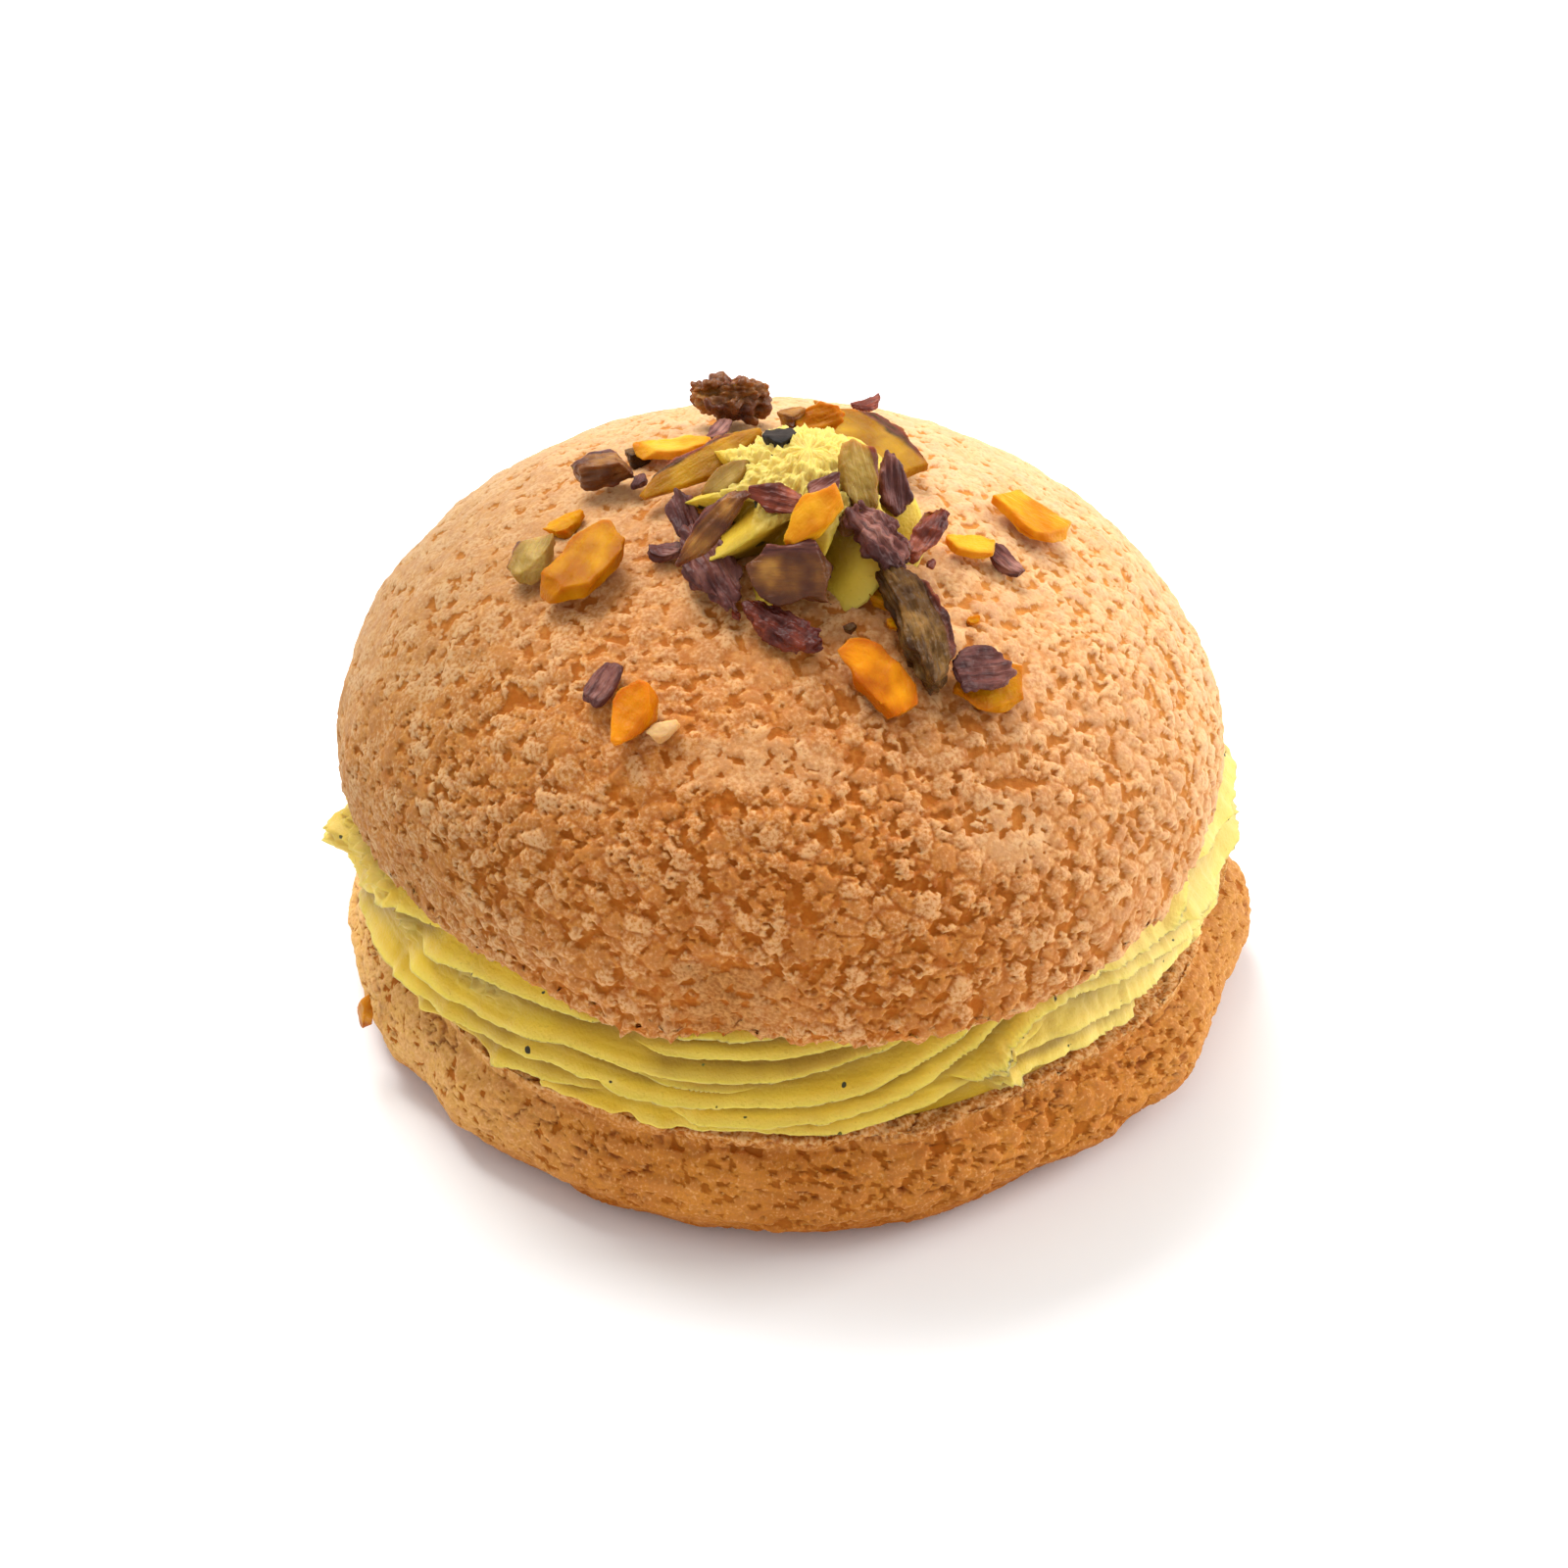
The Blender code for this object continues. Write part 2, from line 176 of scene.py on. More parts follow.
def times_plus(tree, value, factor, extra):
    return maths(tree, "MULTIPLY_ADD", value, factor, extra)


def minus(tree, first, second):
    return maths(tree, "SUBTRACT", first, second)


def axis(tree, vector, number):
    """x, y or z of a place, or one share of a colour, counted from 0."""
    return wire(tree, "ShaderNodeSeparateXYZ", {0: vector}, number)


def vectors(tree, operation, first, second=None, scale=None):
    inputs = {0: first}
    if second is not None:
        inputs[1] = second
    if scale is not None:
        inputs["Scale"] = scale
    return wire(tree, "ShaderNodeVectorMath", inputs, operation=operation)


def ramp(tree, value, low, high, start=0.0, end=1.0, smooth=True):
    """start where value is under low, end where it is over high, and an even passage between."""
    inputs = {"Value": value, "From Min": low, "From Max": high, "To Min": start, "To Max": end}
    kind = "SMOOTHSTEP" if smooth else "LINEAR"
    return wire(tree, "ShaderNodeMapRange", inputs, interpolation_type=kind)


def cells(tree, place, scale, *outputs, **settings):
    """Cells of a Voronoi pattern: the asked outputs, or the distance alone."""
    made = wire(tree, "ShaderNodeTexVoronoi", {"Vector": place, "Scale": scale}, 0, **settings).node
    found = [made.outputs[name] for name in outputs or ("Distance",)]
    return found if outputs else found[0]


def cloud(tree, place, scale, detail=1.0, output=0):
    return wire(tree, "ShaderNodeTexNoise", {"Vector": place, "Scale": scale, "Detail": detail}, output)


def bent(tree, place, scale, amount, detail=1.0):
    """The place, pushed about by a cloud."""
    push = vectors(tree, "SUBTRACT", cloud(tree, place, scale, detail, 1), (0.5, 0.5, 0.5))
    return vectors(tree, "ADD", place, vectors(tree, "SCALE", push, scale=amount))


def read(tree, name, vector=False):
    """A value kept on the mesh's points."""
    if tree.type == "GEOMETRY":
        kind = "FLOAT_VECTOR" if vector else "FLOAT"
        return wire(tree, "GeometryNodeInputNamedAttribute", {"Name": name}, "Attribute", data_type=kind)
    return wire(tree, "ShaderNodeAttribute", {}, "Vector" if vector else "Fac", attribute_name=name)


def crumb_layer(tree, place):
    """Sugar crumbs of about 0.7 mm that cling in clumps of about 2 mm, with winding gaps where the
    sheet tore between the clumps; place is in millimetres. Gives the height in millimetres, and by
    name: the cover (0 in a gap), how deep inside its clump a point is, the clump's own tone and the
    seams where clumps touch."""
    open_share, bare, calm = [read(tree, name) for name in ("open", "bare", "calm")]
    rough = bent(tree, bent(tree, place, 0.3, 1.6), 1.4, 0.32, 2.0)
    reach, middle, chance = cells(tree, rough, CRUMBS_PER_MM, "Distance", "Position", "Color")
    luck = axis(tree, chance, 0)
    torn = cells(tree, middle, CLUMPS_PER_MM, feature="DISTANCE_TO_EDGE")
    off_core, clump_chance = cells(tree, rough, CLUMPS_PER_MM, "Distance", "Color")
    tone = axis(tree, clump_chance, 1)
    gape = ramp(tree, cloud(tree, middle, 0.55), 0.34, 0.66, -0.05, 0.08)
    inside = minus(tree, torn, times(tree, gape, minus(tree, open_share, calm)))
    round_edge = ramp(tree, reach, 0.46, 0.66, 1.0, 0.0)
    round_edge = maths(tree, "MAXIMUM", ramp(tree, inside, 0.01, 0.06), round_edge)
    seam = ramp(tree, cells(tree, rough, CLUMPS_PER_MM, feature="DISTANCE_TO_EDGE"), 0.0, 0.10, 1.0, 0.0)
    seam = times(tree, seam, times_plus(tree, open_share, 0.70, 0.30))
    kept = maths(tree, "GREATER_THAN", luck, times(tree, open_share, 0.04))
    there = ramp(tree, times_plus(tree, luck, 0.3, bare), 0.55, 0.62, 1.0, 0.0)
    cover = times(tree, ramp(tree, inside, 0.0, 0.03), kept, there, round_edge)
    dome = ramp(tree, maths(tree, "POWER", reach, 2.0), 0.0, 0.5, 1.0, 0.0, smooth=False)
    core = ramp(tree, inside, 0.03, 0.22)
    swell = times(tree, ramp(tree, off_core, 0.0, 0.75, 1.0, 0.0), 0.24)
    swell = times_plus(tree, tone, 0.08, times_plus(tree, core, 0.08, swell))
    swell = times(tree, swell, times_plus(tree, open_share, 0.6, 0.4))
    bead = times(tree, maths(tree, "SQRT", dome), times_plus(tree, luck, 0.04, 0.04))
    bead = times(tree, bead, times_plus(tree, open_share, 0.7, 0.3))
    lively = minus(tree, 1.0, times(tree, calm, 0.7))
    relief = times_plus(tree, seam, -0.15, maths(tree, "ADD", swell, bead))
    height = times(tree, cover, times_plus(tree, relief, lively, 0.20))
    return height, {"cover": cover, "core": core, "tone": tone, "seam": times(tree, seam, lively)}


def raise_surface(piece, relief_of):
    """Moves each point out along its normal by the height in millimetres that relief_of's nodes
    give, and keeps the other numbers that they give on the mesh's points."""
    tree = bpy.data.node_groups.new(piece.name, "GeometryNodeTree")
    for way in ("INPUT", "OUTPUT"):
        tree.interface.new_socket("Geometry", in_out=way, socket_type="NodeSocketGeometry")
    height, kept = relief_of(tree)
    normal = tree.nodes.new("GeometryNodeInputNormal").outputs[0]
    offset = vectors(tree, "SCALE", normal, scale=times(tree, height, MM))
    shape = tree.nodes.new("NodeGroupInput").outputs[0]
    for name, value in kept.items():
        inputs = {"Geometry": shape, "Name": name, "Value": value}
        shape = wire(tree, "GeometryNodeStoreNamedAttribute", inputs, data_type="FLOAT", domain="POINT")
    moved = wire(tree, "GeometryNodeSetPosition", {"Geometry": shape, "Offset": offset})
    tree.links.new(moved, tree.nodes.new("NodeGroupOutput").inputs[0])
    modifier = piece.modifiers.new("relief", "NODES")
    modifier.node_group = tree
    bpy.context.view_layer.objects.active = piece
    bpy.ops.object.modifier_apply(modifier=modifier.name)


def paint(code):
    """A colour written as on a paint card, as the shader wants it."""
    shares = [int(code[i : i + 2], 16) / 255 for i in (1, 3, 5)]
    return (*[((s + 0.055) / 1.055) ** 2.4 if s > 0.04 else s / 12.92 for s in shares], 1)


def mix(tree, share, first, second, how="MIX"):
    inputs = {0: share, 6: first, 7: second}
    return wire(tree, "ShaderNodeMix", inputs, 2, data_type="RGBA", blend_type=how)


def two_tone(tree, share, first, second):
    return mix(tree, share, paint(first), paint(second))


def baked_tone(tree, share, depth, pale, deep):
    """A two-tone colour that passes from the pale pair to the deep pair with depth."""
    return mix(tree, depth, two_tone(tree, share, *pale), two_tone(tree, share, *deep))


def new_material(name, **settings):
    """Gives the material, its nodes and its shader."""
    made = bpy.data.materials.new(name)
    made.use_nodes = True
    shader = made.node_tree.nodes["Principled BSDF"]
    for key, value in settings.items():
        shader.inputs[key.replace("_", " ")].default_value = value
    return made, made.node_tree, shader


def place_in_mm(tree):
    return vectors(tree, "SCALE", read(tree, "rest", True), scale=1000.0)


def deselect():
    bpy.ops.object.select_all(action="DESELECT")


def top_relief(tree):
    """The crown's crumbs over broad, low swells of the sheet."""
    place = place_in_mm(tree)
    height, kept = crumb_layer(tree, place)
    height = times_plus(tree, cloud(tree, place, 0.22), 0.9, height)
    height = times_plus(tree, cloud(tree, place, 1.1, 2.0), 0.22, height)
    return times(tree, minus(tree, height, CROWN_SET_BACK), read(tree, "outside")), kept


deselect()
bpy.ops.mesh.primitive_ico_sphere_add(subdivisions=8, radius=1)
crown = bpy.context.object
crown.name = crown.data.name = "crown_crust"
edit()
bpy.ops.mesh.bisect(plane_co=(0, 0, 0), plane_no=(0, 0, 1), clear_inner=True)
for size, drop in LIP_STEPS:
    pick(lambda e: e.is_boundary, "edges")
    bpy.ops.mesh.extrude_edges_move(TRANSFORM_OT_translate={"value": (0, 0, drop)})
    bpy.ops.transform.resize(value=(size, size, 1), center_override=(0, 0, 0))
bpy.ops.mesh.fill()
edit("OBJECT")
dome = points_of(crown)
smooth = crown_points(dome)
hem = np.clip((HEM_HEIGHT - dome[:, 2]) / HEM_HEIGHT, 0, 1)
hem *= np.hypot(dome[:, 0], dome[:, 1]) > 0.95
tatter = [abs(noise.fractal(Vector(p) / HEM_TATTER_SIZE, 0.7, 2.0, 3)) if h else 0.0
          for p, h in zip(smooth, hem)]
smooth[:, 2] -= HEM_DROP * hem * np.array(tatter)
move_points(crown, smooth)
mark(crown, "rest", smooth)


def oval(places, x, y, long, wide, heading):
    """1 in the middle of an oval place seen from above, 0 outside it; in millimetres."""
    turn = math.radians(heading)
    off_x, off_y = places[:, 0] / MM - x, places[:, 1] / MM - y
    along = off_x * math.cos(turn) + off_y * math.sin(turn)
    across = off_y * math.cos(turn) - off_x * math.sin(turn)
    return np.clip(1.5 - (along / long) ** 2 - (across / wide) ** 2, 0, 1)


def facing(places, x, y, shift):
    """1 on the side that faces x, y and 0 on the far side, with a passage 36 mm wide."""
    return np.clip(((x * places[:, 0] + y * places[:, 1]) / MM + shift) / 36, 0, 1)


# Marks for the crumbs: bare where they fell off, calm where they are pressed flat, open for how far
# their clumps stand apart, bald in the rim's dent, one for the painted shade that darkens the left and
# front side, and outside, which is 0 on the face that lies on the cream.
bearing = np.degrees(np.arctan2(smooth[:, 1], smooth[:, 0])) % 360
bare = np.maximum.reduce([
    oval(smooth, -23.1, -19.2, 1.5, 0.5, -62),
    oval(smooth, 33.4, -5.8, 2.0, 0.35, -45),
    oval(smooth, 18.8, -26.9, 2.8, 0.35, 20),
    oval(smooth, -7.0, -35.5, 0.3, 1.4, 8),
])
bald = bulge(bearing, 262, 7.0) * np.clip((0.0325 - smooth[:, 2]) / 0.001, 0, 1)
calm = np.maximum.reduce([
    bald,
    oval(smooth, 18.0, -30.2, 4.0, 2.2, 14),
    oval(smooth, -2.9, -29.0, 7.5, 2.0, -2),
    0.6 * oval(smooth, -30.0, 8.0, 16, 22, 0),
    0.6 * oval(smooth, 10.0, 26.0, 26, 14, 0),
])
mark(crown, "bare", bare)
mark(crown, "calm", calm)
mark(crown, "open", 0.06 + 0.94 * facing(smooth, 0.25, -0.90, 7) ** 1.4)
mark(crown, "bald", bald)
# painted shade: the mark for darker colours on the left and front side
mark(crown, "painted_shade", facing(smooth, -0.45, -0.90, 9))
mark(crown, "outside", np.clip((dome[:, 2] + 0.051) / 0.008, 0, 1))
raise_surface(crown, top_relief)
bpy.ops.object.shade_smooth()


def crumb_cover(tree, fleck):
    """The cover with the fine serrated outline of sugar crumbs."""
    ragged = times_plus(tree, minus(tree, fleck, 0.5), 0.9, read(tree, "cover"))
    return ramp(tree, ragged, 0.20, 0.70)


def roughen(tree, shader, height):
    """Relief too fine for the mesh; the height is in millimetres."""
    bump = wire(tree, "ShaderNodeBump", {"Height": height, "Distance": MM, "Strength": 1.0})
    tree.links.new(bump, shader.inputs["Normal"])


def roughen_crumbs(tree, shader, cover, fleck):
    """Fine sugar grain, and a step down at the edge of each clump."""
    roughen(tree, shader, times_plus(tree, cover, 0.05, times(tree, fleck, 0.08)))


def baked_crust(name, soft):
    """Crust that light sinks into a little."""
    return new_material(name, Roughness=0.7, Specular_IOR_Level=0.12, Subsurface_Weight=soft,
                        Subsurface_Scale=0.0008, Subsurface_Radius=(1.0, 0.6, 0.3))


crust, tree, shader = baked_crust("crust", 0.5)
place = place_in_mm(tree)
# painted shade: front is the share of the darker colours painted on the left and front side
front = read(tree, "painted_shade")
blush = cloud(tree, place, 0.16, 2.0)
fleck = cloud(tree, place, 3.0, 3.0)
mottle = cloud(tree, place, 1.6, 1.0)
cover = crumb_cover(tree, fleck)
side = axis(tree, place, 0)
gap_tone = times_plus(tree, fleck, 0.8, minus(tree, blush, 0.4))
amber = baked_tone(tree, gap_tone, front, ("#bc742c", "#d28c44"), ("#9a4c06", "#b46212"))
core = baked_tone(tree, blush, front, ("#ca996c", "#d6ac86"), ("#ad692e", "#bb783c"))
margin = baked_tone(tree, blush, front, ("#cf9c66", "#dcb486"), ("#c0762e", "#cf8a40"))
inner = maths(tree, "ADD", minus(tree, mottle, 0.5), times(tree, read(tree, "core"), 0.9))
colour = mix(tree, inner, margin, core)
# pale sugar grains, partly their own colour and partly painted glints
sugar_glint = times_plus(tree, read(tree, "tone"), 0.25, fleck)
colour = mix(tree, ramp(tree, sugar_glint, 0.52, 0.85, 0.0, 0.6), colour, paint("#e4b884"))
dark_grain = two_tone(tree, front, "#c07c3c", "#a05e26")
colour = mix(tree, ramp(tree, fleck, 0.36, 0.46, 0.35, 0.0), colour, dark_grain)
# painted shade: the pressed-flat crumbs are coloured darker on the left side
calm_tone = two_tone(tree, ramp(tree, side, -20.0, 10.0), "#b48452", "#dcb284")
colour = mix(tree, times(tree, read(tree, "calm"), 0.35), colour, calm_tone)
bald_tone = two_tone(tree, ramp(tree, fleck, 0.3, 0.7), "#8c5018", "#bc8040")
colour = mix(tree, times(tree, read(tree, "bald"), 0.85), colour, bald_tone)
seam_tone = two_tone(tree, front, "#c47e3c", "#a6540c")
colour = mix(tree, times(tree, read(tree, "seam"), 0.9), colour, seam_tone)
amber = mix(tree, ramp(tree, mottle, 0.45, 0.70, 0.0, 0.3), amber, paint("#d08c40"))
colour = mix(tree, cover, amber, colour)
# painted shade: the left side of the crust is multiplied darker
colour = mix(tree, ramp(tree, side, -36.0, -8.0, 1.0, 0.0), colour, paint("#e0eaf2"), "MULTIPLY")
tree.links.new(colour, shader.inputs["Base Color"])
roughen_crumbs(tree, shader, cover, fleck)
crown.data.materials.append(crust)
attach(crown, "root")
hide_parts("top_shell")

# Bottom half of the bun
# The lower third of the same choux bun, cut open for filling: a crushed crumb crust on its flank, a
# torn, bready edge on top and a smooth, browner sole. It is a drum whose side is pressed to shape.

BASE_RADIUS = 0.0408
BASE_HEIGHT = 0.0128
BASE_FOOT_RADIUS = 0.0330
BASE_CUT_LINE = ((0.0355, BASE_HEIGHT), (0.0372, BASE_HEIGHT), (0.0385, BASE_HEIGHT - 0.0006))
BASE_FLANK_DEPTH = 0.0070
BASE_FLANK_HEIGHT = 0.0060
BASE_SET_BACK = 1.10  # mm that the crumbs' foot lies under the flank
BASE_SWELLS = ((0.0006, 1, 83), (0.0004, 2, 346), (0.0003, 3, 36))
BASE_BULGES = ((0.0021, 1, 9), (0.0010, 333, 8), (-0.0011, 306, 14), (-0.0005, 211, 15))


def drum(name, sides, rows):
    """A round drum of radius and height 1 whose side has that many rows. Gives it and each point's
    bearing and share of the way down its side. Each of its ends is one flat face."""
    deselect()
    bpy.ops.mesh.primitive_cylinder_add(vertices=sides, radius=1, depth=1)
    piece = bpy.context.object
    piece.name = piece.data.name = name
    edit()
    pick(lambda e: abs(e.verts[0].co.z - e.verts[1].co.z) > 0.5, "edges")
    bpy.ops.mesh.subdivide(number_cuts=rows - 1)
    edit("OBJECT")
    at = points_of(piece)
    return piece, np.degrees(np.arctan2(at[:, 1], at[:, 0])) % 360, 0.5 - at[:, 2]


def ring_places(angle, radius, z):
    return np.stack([radius * np.cos(np.radians(angle)), radius * np.sin(np.radians(angle)), z], 1)


base, angle, down = drum("base_crust", 760, 110)
side_line = list(BASE_CUT_LINE)
for turn in np.radians(np.linspace(52, -90, 24)):
    across = BASE_RADIUS - BASE_FLANK_DEPTH + BASE_FLANK_DEPTH * math.cos(turn)
    side_line.append((across, BASE_FLANK_HEIGHT + BASE_FLANK_HEIGHT * math.sin(turn)))
side_line.append((BASE_FOOT_RADIUS, 0.0))
side_line = np.array(side_line)
lengths = np.concatenate([[0], np.cumsum(np.hypot(*np.diff(side_line, axis=0).T))])
radius = np.interp(down * lengths[-1], lengths, side_line[:, 0])
z = np.interp(down * lengths[-1], lengths, side_line[:, 1])
share = np.minimum(radius / BASE_RADIUS, 1) ** 3
radius += share * (swells(angle, BASE_SWELLS) + bulges(angle, BASE_BULGES))
rough = lumps(ring_places(angle, radius, z), 0.007)
flank = np.clip(z / 0.002, 0, 1)
radius += 0.0005 * rough * flank
z -= 0.0003 * (1 + rough) * share * flank
smooth = ring_places(angle, radius, z)
move_points(base, smooth)
mark(base, "rest", smooth)
tatter = lumps(smooth * (1, 1, 3), 0.003)
right = np.clip(bulge(angle, 296, 44) + 0.10, 0, 1)
mark(base, "bare", np.clip((0.0040 - z) / 0.003 + 0.4 * tatter, 0, 1) * 0.5)
mark(base, "open", 0.12 + 0.68 * right)
mark(base, "calm", np.clip(0.55 - 0.5 * right + np.clip((0.005 - z) / 0.004, 0, 1), 0, 1))
mark(base, "outside", np.clip((z - 0.0002) / 0.003, 0, 1))
mark(base, "height", z / BASE_HEIGHT)


def base_relief(tree):
    """Crumbs, shallow creases that run round the flank, and pits in the torn crumb of its top edge."""
    place = vectors(tree, "MULTIPLY", place_in_mm(tree), (1.0, 1.0, 1.25))
    height, kept = crumb_layer(tree, place)
    flat = vectors(tree, "MULTIPLY", bent(tree, place_in_mm(tree), 0.5, 1.2), (0.5, 0.5, 1.5))
    folded = cloud(tree, flat, 0.34, 2.0)
    crease = ramp(tree, maths(tree, "ABSOLUTE", minus(tree, folded, 0.47)), 0.0, 0.03, 1.0, 0.0)
    crease = times(tree, crease, ramp(tree, cloud(tree, place, 0.3), 0.42, 0.58))
    pits = ramp(tree, cells(tree, place, 0.5), 0.12, 0.30, 1.0, 0.0)
    pits = times(tree, pits, ramp(tree, read(tree, "height"), 0.72, 0.9))
    kept["sunk"] = maths(tree, "MAXIMUM", crease, times(tree, pits, 0.8))
    height = times_plus(tree, folded, 1.5, height)
    height = times_plus(tree, kept["sunk"], -0.4, height)
    return times(tree, minus(tree, height, BASE_SET_BACK), read(tree, "outside")), kept


raise_surface(base, base_relief)
bpy.ops.object.shade_smooth()

crumbled, tree, shader = baked_crust("base_crust", 0.3)
place = place_in_mm(tree)
side = axis(tree, place, 0)
right = minus(tree, ramp(tree, side, -40.0, -12.0), ramp(tree, side, 28.0, 42.0, 0.0, 0.3))
fleck = cloud(tree, place, 3.0, 3.0)
blush = cloud(tree, place, 0.22, 2.0)
cover = crumb_cover(tree, fleck)
core = baked_tone(tree, blush, right, ("#ca9658", "#deae6e"), ("#ac631f", "#cc8640"))
margin = mix(tree, right, paint("#d6a65c"), two_tone(tree, blush, "#b46a20", "#d08834"))
colour = mix(tree, read(tree, "core"), margin, core)
# pale sugar grains, partly their own colour and partly painted glints
sugar_glint = two_tone(tree, right, "#e8bc84", "#e4ac6c")
colour = mix(tree, ramp(tree, fleck, 0.52, 0.75, 0.0, 0.7), colour, sugar_glint)
colour = mix(tree, ramp(tree, fleck, 0.36, 0.46, 0.45, 0.0), colour, paint("#a86c34"))
colour = mix(tree, cover, two_tone(tree, blush, "#9c500c", "#b46a1a"), colour)
torn_edge = ramp(tree, read(tree, "height"), 0.80, 0.95)
torn_edge = times(tree, torn_edge, ramp(tree, fleck, 0.40, 0.60), 0.6)
colour = mix(tree, torn_edge, colour, paint("#e0b67e"))
sole = two_tone(tree, ramp(tree, fleck, 0.3, 0.7), "#984c0a", "#b4681c")
colour = mix(tree, ramp(tree, read(tree, "height"), 0.05, 0.40), sole, colour)
# painted shade in the creases and pits
colour = mix(tree, ramp(tree, read(tree, "sunk"), 0.2, 1.0, 0.0, 0.8), colour, paint("#8c4410"))
tree.links.new(colour, shader.inputs["Base Color"])
roughen_crumbs(tree, shader, cover, fleck)
base.data.materials.append(crumbled)
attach(base, "root")
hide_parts("base_shell")

# Cream filling
# Pistachio butter cream piped round and round between the halves, so its side is a stack of soft
# folds, each ending in a lip that hangs over the one below. It is a drum whose side is drawn out.

CREAM_RADIUS = 0.0377
CREAM_LOW = 0.0126
CREAM_HIGH = 0.0252
CREAM_BELLY = 0.0008
CREAM_TUCK = 0.0008
CREAM_SWELLS = ((0.0004, 2, 20), (0.0003, 4, 4))
LIPS = (  # each fold's lip: mm it stands out, degrees its ends take to die, then bearings and heights
    (1.3, 6, (-20, 12.9), (40, 12.6), (120, 13.2), (165, 12.6), (194, 11.4), (210, 13.4), (226, 12.8),
     (233, 14.4), (241, 15.2)),
    (1.4, 7, (-10, 16.6), (50, 15.4), (110, 17.4), (160, 15.0), (180, 14.2), (204, 15.0), (222, 15.6),
     (239, 17.1), (247, 17.2)),
    (1.2, 5, (178, 17.0), (191, 16.2), (200, 19.6), (208, 22.4), (214, 23.5)),
    (1.3, 5, (214, 18.2), (230, 18.4), (241, 20.1), (253, 19.0), (262, 18.6)),
    (1.2, 5, (217, 21.1), (226, 22.6), (239, 22.9), (257, 23.3), (270, 24.4)),
    (1.5, 1, (236, 13.4), (246, 13.0), (255, 13.2)),
    (1.4, 6, (248, 16.6), (268, 17.4), (279, 18.6), (286, 20.6), (294, 23.4)),
    (1.3, 6, (252, 19.4), (268, 20.2), (283, 23.2), (290, 25.0)),
    (1.1, 5, (254, 21.4), (270, 22.4), (280, 23.8)),
    (1.4, 5, (258, 14.9), (273, 15.4), (281, 16.7), (290, 19.4), (297, 22.4), (302, 24.0)),
    (1.2, 5, (252, 13.4), (265, 14.0), (273, 13.5), (283, 14.6), (295, 17.3), (301, 19.2)),
    (1.4, 4, (294, 17.5), (302, 21.6), (308, 22.1), (314, 21.0), (323, 20.0), (331, 18.6), (342, 15.9),
     (358, 15.0)),
    (1.0, 3, (300, 17.6), (312, 17.2), (328, 15.3), (342, 13.9)),
    (1.0, 3, (299, 15.8), (312, 14.6), (322, 13.6)),
    (1.6, 6, (302, 24.3), (316, 22.7), (330, 21.4), (343, 18.5), (352, 17.6), (372, 17.4), (410, 20.0),
     (460, 19.2), (500, 21.0), (540, 19.4)),
    (1.5, 3, (328, 21.6), (333, 24.0), (336, 26.4), (341, 27.6)),
    (1.5, 8, (340, 24.6), (350, 22.6), (365, 22.0), (380, 23.4)),
    (1.1, 8, (352, 22.4), (400, 23.4), (450, 22.6), (500, 24.0), (535, 22.4), (548, 20.4)),
)
CLODS = (  # torn lumps: bearing, then mm up, mm wide, mm tall and mm it stands out
    (190, 21.6, 2.6, 2.4, 3.2), (186, 19.0, 1.6, 1.4, 2.2), (196, 22.6, 3.2, 1.4, 1.8),
    (203, 22.2, 2.6, 1.6, 1.4), (209, 20.8, 1.6, 1.6, 0.9), (297.5, 17.4, 1.2, 2.6, 1.4),
    (299, 15.0, 1.4, 1.0, 1.7), (226, 21.0, 2.8, 1.3, 0.7), (3, 16.4, 2.5, 1.5, 1.0),
)

cream, angle, down = drum("cream_folds", 620, 156)
z = CREAM_HIGH - (CREAM_HIGH - CREAM_LOW) * down
turn = np.radians(angle)
z += rim_lift(CREAM_RADIUS * np.cos(turn), CREAM_RADIUS * np.sin(turn)) * (1 - down)
edge = np.clip(np.sin(math.pi * down) * 4, 0, 1)
arc_mm = CREAM_RADIUS / MM * turn
# out is how far a point stands out and under how far it hangs down, in mm; deep is 1 where shade
# is painted under a lip and crest is 1 on the lip itself, where a highlight is painted.
out, under, deep, crest, torn = np.zeros((5, len(z)))
for number, (size, fade, *line) in enumerate(LIPS):
    at, heights = np.array(line, float).T
    seen = (angle - (at[0] - fade)) % 360 + at[0] - fade
    wander = np.array([noise.fractal((number * 7.7, 6 * math.cos(a), 6 * math.sin(a)), 0.7, 2.0, 3)
                       for a in turn])
    level = z / MM - np.interp(seen, at, heights) - 0.5 * wander
    ends = np.clip(np.minimum(seen - at[0], at[-1] - seen) / fade + 1, 0, 1)
    size = size * 1.35 * ends**0.7 * (1 + 0.5 * wander)
    fold = size * np.where(level > 0, np.exp(-np.abs(level) / 1.3), np.exp(-((level / 0.25) ** 2)))
    hang = 0.22 * size * np.exp(-((level / np.where(level > 0, 0.5, 0.15)) ** 2))
    under = np.where(fold > out, hang, under)
    shade = np.minimum(1.7 * np.exp(level / 1.5), 1) * np.clip(-level / 0.2, 0, 1) * ends
    deep = np.maximum(deep * (1 - np.exp(-(((level - 0.1) / 0.5) ** 2)) * ends), shade)
    crest = np.maximum(crest, np.exp(-(((level - 0.15) / 0.3) ** 2)) * ends)
    out = np.maximum(out, fold)
deep = np.clip(deep + 0.4 - 0.5 * out, 0, 1)
streak = np.array([noise.noise((3 * math.cos(a), 3 * math.sin(a), h / 0.0006))
                   for a, h in zip(turn, z - out * MM)])
ruffle = np.array([noise.noise((a / 0.55, h / 0.0016, 4)) for a, h in zip(arc_mm, z)])
serrated = bulge(angle, 318, 16)
out += 0.08 * streak + ruffle * (0.04 + 0.40 * serrated)
for at, high, wide, tall, size in CLODS:
    off = ((angle - at + 180) % 360 - 180) * math.pi / 180 * CREAM_RADIUS / MM
    near = np.exp(-((off / wide) ** 2) - ((z / MM - high) / tall) ** 2)
    out += size * near
    torn = np.maximum(torn, near)
